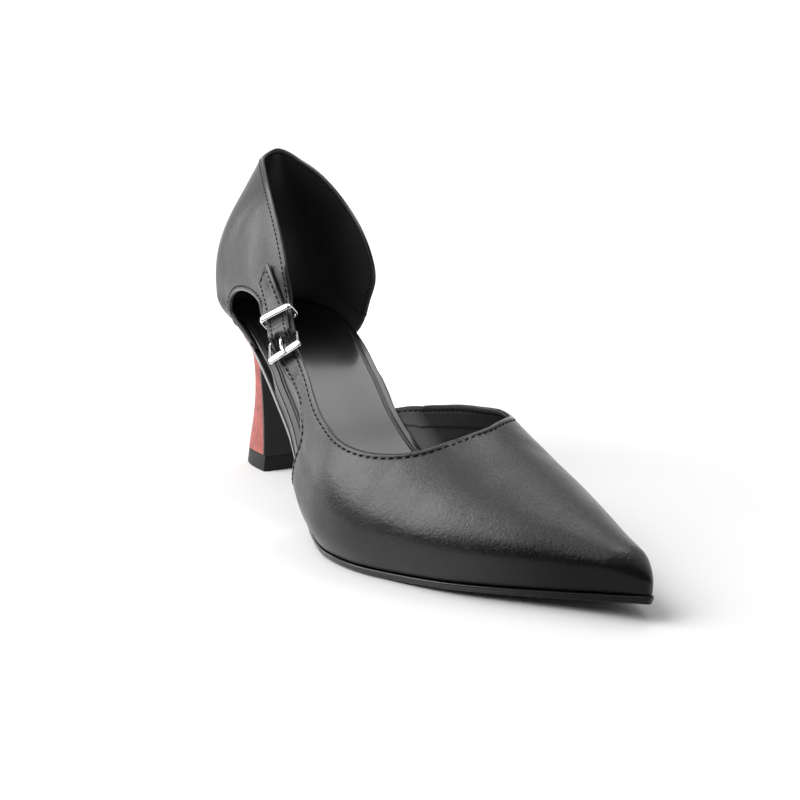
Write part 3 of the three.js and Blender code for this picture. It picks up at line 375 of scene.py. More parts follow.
def along_strap(x, z):
    """Way along the strap and distance to its side, of a place on the outer side."""
    away = np.stack([x - HINGE_AT, z - HINGE_UP], -1)
    on = away @ DOWN / STRAP_REACH
    return on, away @ OVER - strap_off(on) * STRAP_WIDTH


def held_face(face, on, side, lift=0.0):
    """The face drawn to the strap's frame as far as the strap holds it there."""
    point, _, width, out = strap_frame(on)
    side = np.asarray(side, float)
    held = point + width * side[..., None]
    hold = strap_hold(on, side)[..., None]
    return face + (held - face) * hold + out * np.asarray(lift, float)[..., None]


def strap_point(on, side, lift):
    """A point of the strap from its way along, side and lift."""
    on, side, lift = np.broadcast_arrays(on, side, lift)
    centre = strap_centre(on, side)
    return held_face(outer_face(centre[..., 0], centre[..., 1])[0], on, side, lift)


def run_to(x, height):
    """Way round the cup from the back seam to x."""
    return x - back_seam(height) + (math.pi / 2 - 1) * cap_radius(height)


HINGE_RUN = float(run_to(HINGE_AT, HINGE_RISE))


def cup_place(on, side):
    """The quarter's (way round, up) of a place on the strap."""
    centre = strap_centre(on, side * STRAP_WIDTH)
    height = centre[..., 1] - feather(centre[..., 0])
    return np.stack([-run_to(centre[..., 0], height) / HINGE_RUN, height / BACK_HEIGHT], -1)


def quarter_point(place):
    """Point of the quarter's outside from its way round and height."""
    way, up = place[..., 0], place[..., 1]
    face = cup_point(way * np.where(way < 0, HINGE_RUN, LENGTH), up * BACK_HEIGHT)
    on, side = along_strap(face[..., 0], face[..., 2])
    held = held_face(face, on, side)
    return np.where((way > 0)[..., None], face, held)


def strap_top(on):
    return strap_lift(on) * STRAP_CLIMB + VAMP_WALL


# Mesh building
low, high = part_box("outsole")
piece_low, piece_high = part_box("top_piece")
SHIFT = np.array((
    LENGTH + SOLE_MARGIN - high[0] * 1000,
    -(piece_low[1] + piece_high[1]) * 500,
    0.0,
))


def to_frame(points):
    """The shoe's millimetres to the frame's metres."""
    return (np.asarray(points, float) - SHIFT) * 0.001


def new_object(name, points, polygons, materials, slots):
    """A smooth piece that rides the root body."""
    mesh = bpy.data.meshes.new(name)
    mesh.from_pydata(to_frame(points).tolist(), [], [list(map(int, p)) for p in polygons])
    for material in materials:
        mesh.materials.append(material)
    mesh.polygons.foreach_set("material_index", np.asarray(slots, np.int32))
    mesh.polygons.foreach_set("use_smooth", np.full(len(mesh.polygons), True))
    mesh.update()
    piece = bpy.data.objects.new(name, mesh)
    bpy.context.scene.collection.objects.link(piece)
    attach(piece, "root")
    return piece


def quads_of(ids):
    """The quads between the rows and columns of a grid of point numbers."""
    return np.stack([ids[:-1, :-1], ids[1:, :-1], ids[1:, 1:], ids[:-1, 1:]], -1).reshape(-1, 4)


class Shape:
    """Points and faces gathered from several parts of one piece."""

    def __init__(self):
        self.points, self.faces, self.slots, self.count = [], [], [], 0

    def add(self, points, polygons, slot=0):
        points = np.asarray(points, float).reshape(-1, 3)
        self.points.append(points)
        self.faces += [[int(i) + self.count for i in p] for p in polygons]
        self.slots += [slot] * len(polygons)
        self.count += len(points)

    def grid(self, rows, slot=0, flip=False, close=False):
        rows = np.asarray(rows, float)
        high, wide = rows.shape[:2]
        ids = np.arange(high * wide).reshape(high, wide)
        if close:
            ids = np.column_stack([ids, ids[:, 0]])
        quads = quads_of(ids)
        self.add(rows, quads[:, ::-1] if flip else quads, slot)

    def make(self, name, materials):
        return new_object(name, np.concatenate(self.points), self.faces, materials, self.slots)


# Corners of neighbouring patches closer than this are one
SAME_POINT = 0.004


class Sheet:
    """Patches of points welded into one sheet, with normals and edges."""

    def __init__(self, patches, flips):
        sizes = [p.shape[0] * p.shape[1] for p in patches]
        every = np.concatenate([p.reshape(-1, 3) for p in patches])
        keys = np.round(every / SAME_POINT).astype(np.int64)
        _, first, back = np.unique(keys, axis=0, return_index=True, return_inverse=True)
        back = back.reshape(-1)
        self.points = every[first]
        self.ids, quads, start = [], [], 0
        for patch, size, flip in zip(patches, sizes, flips):
            ids = back[start:start + size].reshape(patch.shape[:2])
            start += size
            self.ids.append(ids)
            ruled_quads = quads_of(ids)
            quads.append(ruled_quads[:, ::-1] if flip else ruled_quads)
        self.quads = np.concatenate(quads)
        self.tidy()

    def tidy(self):
        """Turns the quads into polygons without repeated corners."""
        self.polygons = []
        for quad in self.quads.tolist():
            ring = [a for a, b in zip(quad, quad[1:] + quad[:1]) if a != b]
            if len(set(ring)) > 2 and len(set(ring)) == len(ring):
                self.polygons.append(ring)

    def normals(self, points=None):
        points = self.points if points is None else points
        q = self.quads
        diagonal = np.cross(points[q[:, 2]] - points[q[:, 0]], points[q[:, 3]] - points[q[:, 1]])
        total = np.zeros_like(points)
        for k in range(4):
            np.add.at(total, q[:, k], diagonal)
        return unit(total)

    def loops(self):
        """Boundary loops as lists of point numbers, the sheet on their left."""
        edges = set()
        for ring in self.polygons:
            edges.update(zip(ring, ring[1:] + ring[:1]))
        ahead = {a: b for a, b in edges if (b, a) not in edges}
        loops = []
        while ahead:
            a, b = ahead.popitem()
            loop = [a, b]
            while b in ahead:
                b = ahead.pop(b)
                loop.append(b)
            if loop[-1] == loop[0]:
                loop.pop()
            loops.append(np.array(loop))
        return loops


# Distances of the seams from the edges, and thickness of folds, in millimetres
THROAT_STITCH = 1.7
WING_STITCH = THROAT_STITCH - 0.2
STRAP_STITCH = 1.3
REAR_STITCH = 1.5
COLLAR_STITCH = 1.5
VAMP_LINING_STITCH = 1.8
QUARTER_LINING_STITCH = 1.7
FOLD_RISE = 0.16
STRAP_FOLD = 0.4
VAMP_GROOVE = 0.22
QUARTER_GROOVE = 0.12
FACING = 8.0
EDGE_BEAD = 0.42
FOOT_BEAD = 0.3
# One stitch: spacing along the collar and elsewhere, size, lift and slant
COLLAR_PITCH = 2.3
STITCH_PITCH = 2.5
STITCH_LENGTH = 1.85
STITCH_WIDTH = 0.58
STITCH_THICK = 0.44
STITCH_LIFT = 0.05
STITCH_SLANT = 0.16
STITCH_AROUND = 6
STITCH_PROBE = 0.6
# Way along the stitch, share of its thickness, dip of its ends
STITCH_RINGS = [
    (-0.5, 0.3, -0.22), (-0.4, 0.8, -0.06), (-0.15, 1, 0.0), (0.15, 1, 0.0), (0.4, 0.8, -0.06),
    (0.5, 0.3, -0.22),
]
# The strap's long hole: near end, far end and radius from the hinge
HOLE_NEAR = 1.2
HOLE_FAR = 3.8
HOLE_RADIUS = 0.85
# Material slots of the two upper pieces
LEATHER, LINING, THREAD, TURNED = range(4)

# Creases pressed into the vamp: points as (x, girth), half width, depth
VAMP_CREASES = [
    ([(171, 0.36), (176, 0.3), (179, 0.22), (180, 0.15)], 3.2, 0.121),
    ([(184, 0.44), (189, 0.36), (191, 0.27), (191, 0.19)], 3.6, 0.11),
    ([(181, 0.52), (186, 0.6), (187, 0.7), (185, 0.8)], 3.4, 0.121),
    ([(196, 0.5), (200, 0.4), (202, 0.3)], 3.0, 0.066),
    ([(150, 0.22), (158, 0.17), (166, 0.12)], 3.4, 0.099),
    ([(140, 0.235), (146, 0.2), (150, 0.15)], 2.6, 0.088),
    ([(160, 0.69), (152, 0.77), (146, 0.85)], 3.0, 0.11),
    ([(132, 0.2), (137, 0.16), (139, 0.1)], 2.4, -0.077),
    ([(174, 0.4), (181, 0.36), (186, 0.3)], 2.2, -0.066),
]
# Soft hollows of the quarter: points as (way round, up), half width, depth
QUARTER_CREASES = [
    ([(-0.62, 0.72), (-0.55, 0.58), (-0.52, 0.44)], 4.0, 0.25),
    ([(-0.4, 0.78), (-0.36, 0.55), (-0.34, 0.3)], 5.0, 0.2),
    ([(-0.2, 0.62), (-0.1, 0.5), (0.02, 0.46), (0.1, 0.5)], 4.0, 0.18),
    ([(0.16, 0.7), (0.2, 0.5), (0.21, 0.3)], 5.0, 0.22),
    ([(-0.7, 0.5), (-0.6, 0.4), (-0.5, 0.32)], 3.0, -0.15),
]
# Wrinkles across the strap: way along, side it starts from, half width, depth
WRINKLE_SHARE = 0.55
STRAP_CREASES = [
    (-0.72, -1, 0.6, 0.08), (-0.6, 1, 0.5, 0.09), (-0.46, -1, 0.6, 0.08), (-0.18, 1, 0.5, 0.16),
    (-0.1, -1, 0.5, 0.2), (-0.04, 1, 0.45, 0.24), (0.17, -1, 0.6, 0.18), (0.22, 1, 0.5, 0.14),
    (0.34, 1, 0.6, 0.1), (0.46, -1, 0.7, 0.1), (0.6, 1, 0.7, 0.1),
]


# Points along a crease, and how far from its middle it can press
CREASE_STEPS = 60
CREASE_REACH = 60.0


def distance_to(points, marks, reach=9.0):
    """How far each point is from the nearest of the marks, up to reach."""
    tree = KDTree(len(marks))
    for i, mark in enumerate(marks):
        tree.insert(mark, i)
    tree.balance()
    return np.array([min(tree.find(p)[2], reach) for p in points])


def refine(line, gap=0.25):
    """The line with points added so that none are further apart than gap."""
    lengths = np.r_[0, np.cumsum(np.linalg.norm(np.diff(line, axis=0), axis=1))]
    at = np.linspace(0, lengths[-1], max(int(lengths[-1] / gap) + 1, 2))
    return np.stack([np.interp(at, lengths, line[:, k]) for k in range(3)], -1)


def pressed(points, creases, read):
    """How deep the creases press each point; read gives a crease's line on the leather."""
    depth = np.zeros(len(points))
    for marks, half, deep in creases:
        marks = np.array(marks, float)
        t = np.linspace(0, 1, CREASE_STEPS)
        spread = np.linspace(0, 1, len(marks))
        line = read(np.interp(t, spread, marks[:, 0]), np.interp(t, spread, marks[:, 1]))
        tree = KDTree(len(line))
        for i, mark in enumerate(line):
            tree.insert(mark, i)
        tree.balance()
        fade = np.sin(np.pi * np.clip(t * 0.86 + 0.07, 0, 1)) ** 0.7
        near = np.where(np.linalg.norm(points - line[len(line) // 2], axis=1) < CREASE_REACH)[0]
        for i in near:
            _, k, d = tree.find(points[i])
            if d < 3 * half:
                depth[i] += deep * fade[k] * math.exp(-(d / half) ** 2)
    return depth


def seam_line(points, normals, ids, field, level, from_end=False):
    """Where the field first rises through a level along each row of ids."""
    spots, outs = [], []
    for row in ids:
        row = row[::-1] if from_end else row
        values = field[row] - level[row]
        k = np.argmax(values >= 0)
        if values[k] < 0 or k == 0:
            continue
        s = -values[k - 1] / (values[k] - values[k - 1])
        spots.append(points[row[k - 1]] * (1 - s) + points[row[k]] * s)
        outs.append(unit(normals[row[k - 1]] * (1 - s) + normals[row[k]] * s))
    return np.array(spots), np.array(outs)


def joined(*lines):
    """Lines of points and normals as one."""
    return np.concatenate([a for a, _ in lines]), np.concatenate([b for _, b in lines])


def stitch_row(shape, line, pitch=STITCH_PITCH):
    """A row of flat oval stitches laid along a line of points and normals."""
    spots, outs = line
    gaps = np.linalg.norm(np.diff(spots, axis=0), axis=1)
    keep = np.r_[True, gaps > 1e-4]
    spots, outs = spots[keep], outs[keep]
    along = np.r_[0, np.cumsum(np.linalg.norm(np.diff(spots, axis=0), axis=1))]
    count = max(int(along[-1] / pitch), 1)
    at = (np.arange(count) + 0.5) * along[-1] / count

    def read(values, where):
        return np.stack([np.interp(where, along, values[:, k]) for k in range(3)], -1)

    centre = read(spots, at)
    out = unit(read(outs, at))
    ahead = unit(read(spots, at + STITCH_PROBE) - read(spots, at - STITCH_PROBE))
    ahead = unit(ahead - out * (ahead * out).sum(-1, keepdims=True))
    side = np.cross(out, ahead)
    c, s = math.cos(STITCH_SLANT), math.sin(STITCH_SLANT)
    ahead, side = ahead * c + side * s, side * c - ahead * s
    points = []
    for reach, swell, dip in STITCH_RINGS:
        for a in np.linspace(0, 2 * math.pi, STITCH_AROUND + 1)[:-1]:
            points.append(centre + ahead * reach * STITCH_LENGTH
                          + side * 0.5 * STITCH_WIDTH * swell * math.cos(a)
                          + out * (0.5 * STITCH_THICK * swell * math.sin(a) + STITCH_LIFT + dip))
    points = np.stack(points, 1)
    stitches, per = points.shape[:2]
    n = STITCH_AROUND
    faces = [(k * n + j, k * n + (j + 1) % n, (k + 1) * n + (j + 1) % n, (k + 1) * n + j)
             for k in range(len(STITCH_RINGS) - 1) for j in range(n)]
    faces += [tuple(range(n))[::-1], tuple(range(per - n, per))]
    shape.add(points, [[i + per * m for i in face] for m in range(stitches) for face in faces], THREAD)


def walled(sheet, shape, outside, inside, depth):
    """Adds the outside, the inside and a rim of two beads with a groove between."""
    count = len(outside)
    bend = np.linspace(0, math.pi, 6)
    bead = [(0.5 + 0.5 * math.cos(b), 0.85 * math.sin(b)) for b in bend[1:-1]]
    profile = bead + [(0.0, 0.1)] + [(a - 1.0, c) for a, c in bead]
    rims, polygons, marks, base = [], [], [], 2 * count
    for loop in sheet.loops():
        o, i = outside[loop], inside[loop]
        ahead = np.roll(o, -1, 0) - np.roll(o, 1, 0)
        away = unit(np.cross(unit(ahead), unit(o - i)))
        middle, half = (o + i) / 2, (o - i) / 2
        n = len(loop)
        d = depth[loop][:, None]
        rims += [middle + half * a + away * d * c for a, c in profile]
        ids = [loop] + [base + k * n + np.arange(n) for k in range(len(profile))] + [loop + count]
        base += n * len(profile)
        for k, (upper, lower) in enumerate(zip(ids, ids[1:])):
            polygons += np.stack([upper, lower, np.roll(lower, -1), np.roll(upper, -1)], -1).tolist()
            marks += [TURNED if k <= len(bead) else LINING] * n
    start = shape.count
    shape.add(np.vstack([outside, inside] + rims), sheet.polygons, LEATHER)
    inner = [[i + count + start for i in reversed(p)] for p in sheet.polygons]
    shape.faces += inner
    shape.slots += [LINING] * len(inner)
    shape.faces += [[i + start for i in p] for p in polygons]
    shape.slots += marks


def folded(D, level, raised, deep):
    """Height of a folded, stitched edge at distance D from it."""
    fold = raised * (1 - smooth((D - level + 0.1) / 0.5))
    groove = -deep * np.exp(-((D - level) / 0.42) ** 2)
    round_off = -0.3 * np.clip(1 - D / 0.7, 0, 1) ** 2
    return fold + groove + round_off


def graded(count, fine, edge):
    """Shares 0 to 1, closer together near the start, the end or both."""
    even = np.linspace(0, 1, count + 1)
    if edge == "start":
        return even ** fine
    if edge == "end":
        return 1 - (1 - even) ** fine
    return np.where(even < 0.5, 0.5 * (2 * even) ** fine, 1 - 0.5 * (2 - 2 * even) ** fine)


def sunk_rim(D):
    """How far the wall's inside draws in at distance D from an edge."""
    return 0.22 * np.clip(1 - D / 0.7, 0, 1) ** 2


# Materials
def shader(name, colour, roughness, metallic=0.0, coat=0.0, coat_roughness=0.1, specular=0.5):
    m = bpy.data.materials.new(name)
    m.use_nodes = True
    bsdf = m.node_tree.nodes["Principled BSDF"]
    bsdf.inputs["Base Color"].default_value = (*colour, 1)
    bsdf.inputs["Roughness"].default_value = roughness
    bsdf.inputs["Metallic"].default_value = metallic
    bsdf.inputs["Coat Weight"].default_value = coat
    bsdf.inputs["Coat Roughness"].default_value = coat_roughness
    bsdf.inputs["Specular IOR Level"].default_value = specular
    return m


def maths(tree, operation, first, second):
    """A maths node of a socket and a socket or number."""
    node = tree.nodes.new("ShaderNodeMath")
    node.operation = operation
    tree.links.new(first, node.inputs[0])
    if isinstance(second, float):
        node.inputs[1].default_value = second
    else:
        tree.links.new(second, node.inputs[1])
    return node.outputs[0]


def ranged(tree, value, start, stop, low, high, soft=False):
    """A socket that runs from low to high while value runs from start to stop."""
    node = tree.nodes.new("ShaderNodeMapRange")
    if soft:
        node.interpolation_type = "SMOOTHSTEP"
    node.inputs["From Min"].default_value = start
    node.inputs["From Max"].default_value = stop
    node.inputs["To Min"].default_value = low
    node.inputs["To Max"].default_value = high
    tree.links.new(value, node.inputs["Value"])
    return node.outputs[0]


def noise(tree, scale, detail, distortion=0.0, stretch=(1, 1, 1)):
    """Noise in the piece's own metres, drawn out by stretch."""
    coords = tree.nodes.new("ShaderNodeTexCoord")
    mapping = tree.nodes.new("ShaderNodeMapping")
    mapping.inputs["Scale"].default_value = stretch
    tree.links.new(coords.outputs["Object"], mapping.inputs["Vector"])
    texture = tree.nodes.new("ShaderNodeTexNoise")
    texture.inputs["Scale"].default_value = scale
    texture.inputs["Detail"].default_value = detail
    texture.inputs["Distortion"].default_value = distortion
    tree.links.new(mapping.outputs["Vector"], texture.inputs["Vector"])
    return texture.outputs[0]


# Wrinkles follow the middle values of the noise, up to this far from them
WRINKLE_HALF = 0.09


def grain(m, distance, layers):
    """Bump of noise layers, each (wrinkled or not, scale per metre, weight, stretch)."""
    tree = m.node_tree
    total = None
    for wrinkled, scale, weight, stretch in layers:
        layer = noise(tree, scale, 2.0 if wrinkled else 5.0, 0.4, stretch)
        if wrinkled:
            away = tree.nodes.new("ShaderNodeMath")
            away.operation = "ABSOLUTE"
            tree.links.new(maths(tree, "SUBTRACT", layer, 0.5), away.inputs[0])
            layer = maths(tree, "MINIMUM", away.outputs[0], WRINKLE_HALF)
        layer = maths(tree, "MULTIPLY", layer, weight)
        total = maths(tree, "ADD", total, layer) if total else layer
    bump = tree.nodes.new("ShaderNodeBump")
    bump.inputs["Distance"].default_value = distance
    bump.inputs["Strength"].default_value = 1.0
    tree.links.new(total, bump.inputs["Height"])
    tree.links.new(bump.outputs["Normal"], tree.nodes["Principled BSDF"].inputs["Normal"])


def vary(m, scale, roughness, colours=None):
    """Slow mottling of the roughness and the colour."""
    tree = m.node_tree
    mottle = noise(tree, scale, 4.0)
    bsdf = tree.nodes["Principled BSDF"]
    if colours:
        ramp = tree.nodes.new("ShaderNodeValToRGB")
        for element, position, colour in zip(ramp.color_ramp.elements, (0.35, 0.65), colours):
            element.position = position
            element.color = (*colour, 1)
        tree.links.new(mottle, ramp.inputs["Fac"])
        tree.links.new(ramp.outputs["Color"], bsdf.inputs["Base Color"])
    tree.links.new(ranged(tree, mottle, 0.3, 0.7, *roughness), bsdf.inputs["Roughness"])


def fade_to_painted_shade(m, **targets):
    """Painted shade: fades inputs to other values, with less reflection, where the mesh's low attribute
    rises to 1.
    """
    tree = m.node_tree
    bsdf = tree.nodes["Principled BSDF"]
    low = tree.nodes.new("ShaderNodeAttribute")
    low.attribute_name = "low"
    for name, value in targets.items():
        target = bsdf.inputs[name.replace("_", " ")]
        tree.links.new(ranged(tree, low.outputs["Fac"], 0.0, 1.0, target.default_value, value), target)


# The low attribute is a mask of painted shade: how far forward it goes round the seat, where it
# starts on the toe, over what length it rises there and how high
SEAT_FRONT = 62.0
TOE_LOW = 200.0
TOE_LOW_OVER = 34.0
TOE_LOW_SHARE = 0.85


def mark_painted_shade(piece, seat_reach=None):
    """Sets the low attribute, a mask of painted shade, on the toe's outer side and up to a reach over the
    outer seat.
    """
    count = len(piece.data.vertices)
    spots = np.empty(3 * count)
    piece.data.vertices.foreach_get("co", spots)
    x, y, z = (spots.reshape(count, 3) * 1000 + SHIFT).T
    turned = np.empty(3 * count)
    piece.data.vertex_normals.foreach_get("vector", turned)
    outward = -turned.reshape(count, 3)[:, 1]
    value = TOE_LOW_SHARE * smooth((x - TOE_LOW) / TOE_LOW_OVER) * smooth(outward / 0.7)
    if seat_reach:
        rear = smooth((seat_reach - (z - feather(x))) / (0.6 * seat_reach))
        rear = rear * smooth((SEAT_FRONT - x) / 10) * smooth((-7 - y) / 9)
        value = np.maximum(rear, value)
    low = piece.data.attributes.new("low", "FLOAT", "POINT")
    low.data.foreach_set("value", value.astype(np.float32))


leather = shader("smooth_black_leather", (0.004, 0.004, 0.0043), 0.36, coat=0.12, coat_roughness=0.2)
grain(leather, 0.0003, [
    (True, 640, 1.0, (1, 0.8, 1)), (True, 360, 0.8, (1, 1, 1)), (False, 2400, 0.12, (1, 1, 1)),
])
vary(leather, 140, (0.31, 0.4))
# Painted shade: the leather loses its reflection and coat where the low attribute marks the toe's outer
# side and the outer seat
fade_to_painted_shade(leather, Specular_IOR_Level=0.08, Coat_Weight=0.0)
turned_edge = shader("turned_leather_edge", (0.006, 0.006, 0.0063), 0.3, coat=0.5, coat_roughness=0.16)
lining = shader("black_lining", (0.018, 0.018, 0.0182), 0.5)
grain(lining, 0.00008, [(False, 900, 0.5, (1, 1, 1))])
sock = shader("black_sock", (0.006, 0.006, 0.0063), 0.26, coat=0.4, coat_roughness=0.14, specular=0.4)
grain(sock, 0.00006, [(False, 600, 0.5, (1, 1, 1))])
board = shader("grey_wrapped_board", (0.03, 0.03, 0.031), 0.4)
sole_black = shader("black_sole", (0.006, 0.006, 0.006), 0.24, coat=0.5, coat_roughness=0.1)
# Painted shade: the sole turns rough and loses its reflection and coat where the low attribute marks the
# outer seat and the toe's outer side
fade_to_painted_shade(sole_black, Specular_IOR_Level=0.08, Coat_Weight=0.0, Roughness=0.7)
polished_edge = shader(
    "polished_sole_edge", (0.06, 0.06, 0.058), 0.2, coat=1.0, coat_roughness=0.12, specular=0.8)
thread = shader("black_thread", (0.002, 0.002, 0.002), 0.85, specular=0.15)
coral = shader("coral_cover", (0.42, 0.1, 0.085), 0.5, specular=0.3)
vary(coral, 300, (0.42, 0.6), ((0.3, 0.066, 0.055), (0.48, 0.135, 0.115)))
breast_black = shader("black_breast", (0.028, 0.028, 0.0285), 0.5)
rubber = shader("black_top_piece", (0.008, 0.008, 0.0078), 0.55, specular=0.35)
silver = shader("polished_metal", (0.74, 0.74, 0.73), 0.1, metallic=1.0)


# Vamp with its strap in one: the strap and the row it grows from share their steps across
STRAP_ACROSS = 28


def vamp_patches():
    """Patches in (x share, girth): before the throat, outer side and inner side."""
    rear, throat_out, throat_in = path(VAMP_REAR), path(THROAT_OUT), path(THROAT_IN)
    rear_end = VAMP_REAR[-1]
    lower = rear(graded(64, 1.2, "end"))
    across = np.linspace(0, 1, STRAP_ACROSS + 1)[1:, None]
    rear_line = np.vstack([lower, rear_end + (STRAP_ROOT - rear_end) * across])
    shares = rear_line[:, 1] / STRAP_ROOT[1]
    shares[-1] = 1.0

    t = graded(104, 1.25, "end")[:, None]
    foot = np.stack([FORE_FOOT + (VAMP_REAR[0, 0] - FORE_FOOT) * t, 0 * t], -1)
    edge = throat_out(t[:, 0])[:, None]
    outer = foot + (edge - foot) * shares[None, :, None]
    bulge = rear_line[:, 0] - (VAMP_REAR[0, 0] + (STRAP_ROOT[0] - VAMP_REAR[0, 0]) * shares)
    outer[..., 0] += bulge[None] * smooth((t - 0.45) / 0.55)

    t = np.linspace(0, 1, 151)[:, None]
    foot = np.stack([FORE_FOOT + (WING_FOOT - FORE_FOOT) * t, 0 * t + 1], -1)
    edge = throat_in(t[:, 0])[:, None]
    inner = edge + (foot - edge) * graded(84, 1.4, "start")[None, :, None]

    join = np.concatenate([outer[0], inner[0, 1:]])
    even = np.linspace(0, 1, len(join))
    t = graded(84, 1.0, "end")
    back = (1 - np.cos(t * math.pi / 2)) ** 1.15
    at = 1 + (join[None, :, 0] - 1) * back[:, None]
    girth = even + (join[:, 1] - even) * smooth(t * 1.1)[:, None]
    return np.stack([at, girth], -1), outer, inner


def on_last(patch):
    return last_point(patch[..., 0] * LENGTH, patch[..., 1])


def strap_patch(outer):
    """The strap's free part, then a smooth run into the row of root points."""
    t = np.linspace(0, 1, 141)[:, None]
    on = STRAP[0, 0] + (STRAP[-1, 0] - STRAP[0, 0]) * t
    side = np.linspace(-1, 1, STRAP_ACROSS + 1)[None] * strap_half(on) * STRAP_WIDTH
    slant = STRAP_SLANT * side * smooth(1 - t * 6) / STRAP_REACH
    lift = strap_lift(on) * STRAP_CLIMB + VAMP_WALL
    free = strap_point(on - slant, side, lift)
    root = outer[-1, -STRAP_ACROSS - 1:]
    leave = unit(free[-1] - free[-3])
    meet = unit(outer[-4, -STRAP_ACROSS - 1:] - root)
    reach = np.linalg.norm(root - free[-1], axis=-1, keepdims=True)
    s = np.linspace(0, 1, 19)[1:, None, None]
    bridge = ((1 + 2 * s) * (1 - s) ** 2 * free[-1] + s * (1 - s) ** 2 * leave * reach
              + s * s * (3 - 2 * s) * root - s * s * (1 - s) * meet * reach)
    return np.concatenate([free, bridge])


fore, outer, inner = [on_last(p) for p in vamp_patches()]
strap = strap_patch(outer)
vamp_sheet = Sheet([fore, outer, inner, strap], [True, True, True, False])
fore_ids, outer_ids, inner_ids, strap_ids = vamp_sheet.ids
hinge_point, hinge_along, hinge_width, hinge_out = strap_frame(0.0)


def beside_hole(points):
    """Distance from the long punched hole's middle line, seen along the strap's normal."""
    away = points - hinge_point
    along, side, out = away @ hinge_along, away @ hinge_width, away @ hinge_out
    past = np.maximum(np.maximum(HOLE_NEAR - along, along - HOLE_FAR), 0)
    return np.where((out > -1) & (out < 9), np.hypot(past, side), 99.0)


centres = vamp_sheet.points[vamp_sheet.quads].mean(1)
vamp_sheet.quads = vamp_sheet.quads[beside_hole(centres) > HOLE_RADIUS]
vamp_sheet.tidy()

base = vamp_sheet.points
N = vamp_sheet.normals()
edges = [
    outer_ids[:, -1], inner_ids[:, 0], outer_ids[-1, :-STRAP_ACROSS], strap_ids[:, 0],
    strap_ids[:, -1], strap_ids[0],
]
marks = np.concatenate([refine(base[ids]) for ids in edges])
D = distance_to(base, marks)
is_strap = np.zeros(len(base))
is_strap[strap_ids.ravel()] = 1
level = STRAP_STITCH + (THROAT_STITCH - STRAP_STITCH) * smooth((base[:, 0] - 126) / 40)
level = np.where(base[:, 2] < 24, np.minimum(level, REAR_STITCH), level)
level = np.where(base[:, 1] > -5, WING_STITCH, level)
depth = pressed(base, VAMP_CREASES, last_point) * smooth((D - 1.5) / 4)
height = folded(D, level, FOLD_RISE * np.where(is_strap > 0, STRAP_FOLD, 1), VAMP_GROOVE) - depth
away = base - hinge_point
for on, start, half, deep in STRAP_CREASES:
    along = away @ hinge_along - on * STRAP_REACH
    side = 1 - np.abs((away @ hinge_width) / (STRAP_WIDTH / 2) - start) / 2
    bend = along - 0.5 * np.sin(side * 3)
    height -= WRINKLE_SHARE * is_strap * deep * np.exp(-(bend / half) ** 2) * smooth(side * 1.6)
sink = smooth(1 - (beside_hole(base) - HOLE_RADIUS) / 1.3)
height -= 0.45 * sink * (D > 0.5)
outside = base + N * height[:, None]
N_out = vamp_sheet.normals(outside)
facing = 0.25 * (1 - smooth((D - FACING) / 0.4)) * (1 - is_strap)
groove = 0.18 * np.exp(-((D - VAMP_LINING_STITCH) / 0.4) ** 2)
inside = base - N * (VAMP_WALL + facing - groove - sunk_rim(D))[:, None]
depth = np.full(len(base), EDGE_BEAD)
foot_ids = np.concatenate([outer_ids[:, 0], inner_ids[:, -1], fore_ids[:, 0], fore_ids[:, -1]])
depth[foot_ids] = FOOT_BEAD

shape = Shape()
walled(vamp_sheet, shape, outside, inside, depth)
throat = joined(
    seam_line(outside, N_out, strap_ids[3:-6], D, level, from_end=True),
    seam_line(outside, N_out, outer_ids[::-1], D, level, from_end=True),
    seam_line(outside, N_out, fore_ids.T, D, level, from_end=True),
    seam_line(outside, N_out, inner_ids[1:-2], D, level),
)
rear = joined(
    seam_line(outside, N_out, strap_ids[3:-6], D, level),
    seam_line(outside, N_out, outer_ids[:, -40::-1].T[:, ::-1], D, level),
)
free_end = seam_line(outside, N_out, strap_ids.T[4:-4], D, level)
N_in = -vamp_sheet.normals(inside)
inside_row = seam_line(inside, N_in, inner_ids[1:-4], D, np.full(len(base), VAMP_LINING_STITCH))
for line in (throat, rear, free_end, inside_row):
    stitch_row(shape, line)
vamp = shape.make("vamp_upper", [leather, lining, thread, turned_edge])
# Shade is painted on the outer side of the vamp's toe
mark_painted_shade(vamp)
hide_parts("vamp")


# Quarter: heel cup with the strap that carries the buckle
def ruled(low_path, high_path, t_low, t_high, shares):
    """A patch of the quarter between two of its lines."""
    a, b = low_path(t_low)[:, None], high_path(t_high)[:, None]
    return quarter_point(a + (b - a) * shares[None, :, None])


def ends(column):
    """Edge places of the quarter's strap."""
    return cup_place(QUARTER_END[:, 0], QUARTER_END[:, column])


collar = path(np.vstack([ends(2), COLLAR]))
keyhole = path(np.vstack([ends(1), KEYHOLE]))
upright = graded(96, 1.35, "both")
t = np.linspace(0, 1, 141)
strap_side = ruled(keyhole, collar, t, KEYHOLE_SHARE * t, upright)
t = np.linspace(0, 1, 231)
cup = ruled(path(CUP_LINE), collar, t, KEYHOLE_SHARE + (1 - KEYHOLE_SHARE) * t, upright)
low_steps = np.linspace(0, 1, 12)
foot = ruled(path(CUP_FOOT), path(CUP_LINE), t, t, low_steps)
t = np.linspace(0, 1, 51)
lip = ruled(path(LIP_FOOT), path(LIP_TOP), t, t, low_steps)
quarter_sheet = Sheet([strap_side, cup, foot, lip], [True, True, True, False])
side_ids, cup_ids, cup_foot_ids, lip_ids = quarter_sheet.ids
base = quarter_sheet.points
N = quarter_sheet.normals()
edges = [
    side_ids[:, -1], side_ids[:, 0], cup_ids[:, -1], cup_ids[-1], cup_foot_ids[-1], lip_ids[:, -1],
    side_ids[0],
]
marks = np.concatenate([refine(base[ids]) for ids in edges])
D = distance_to(base, marks)
level = np.full(len(base), COLLAR_STITCH)
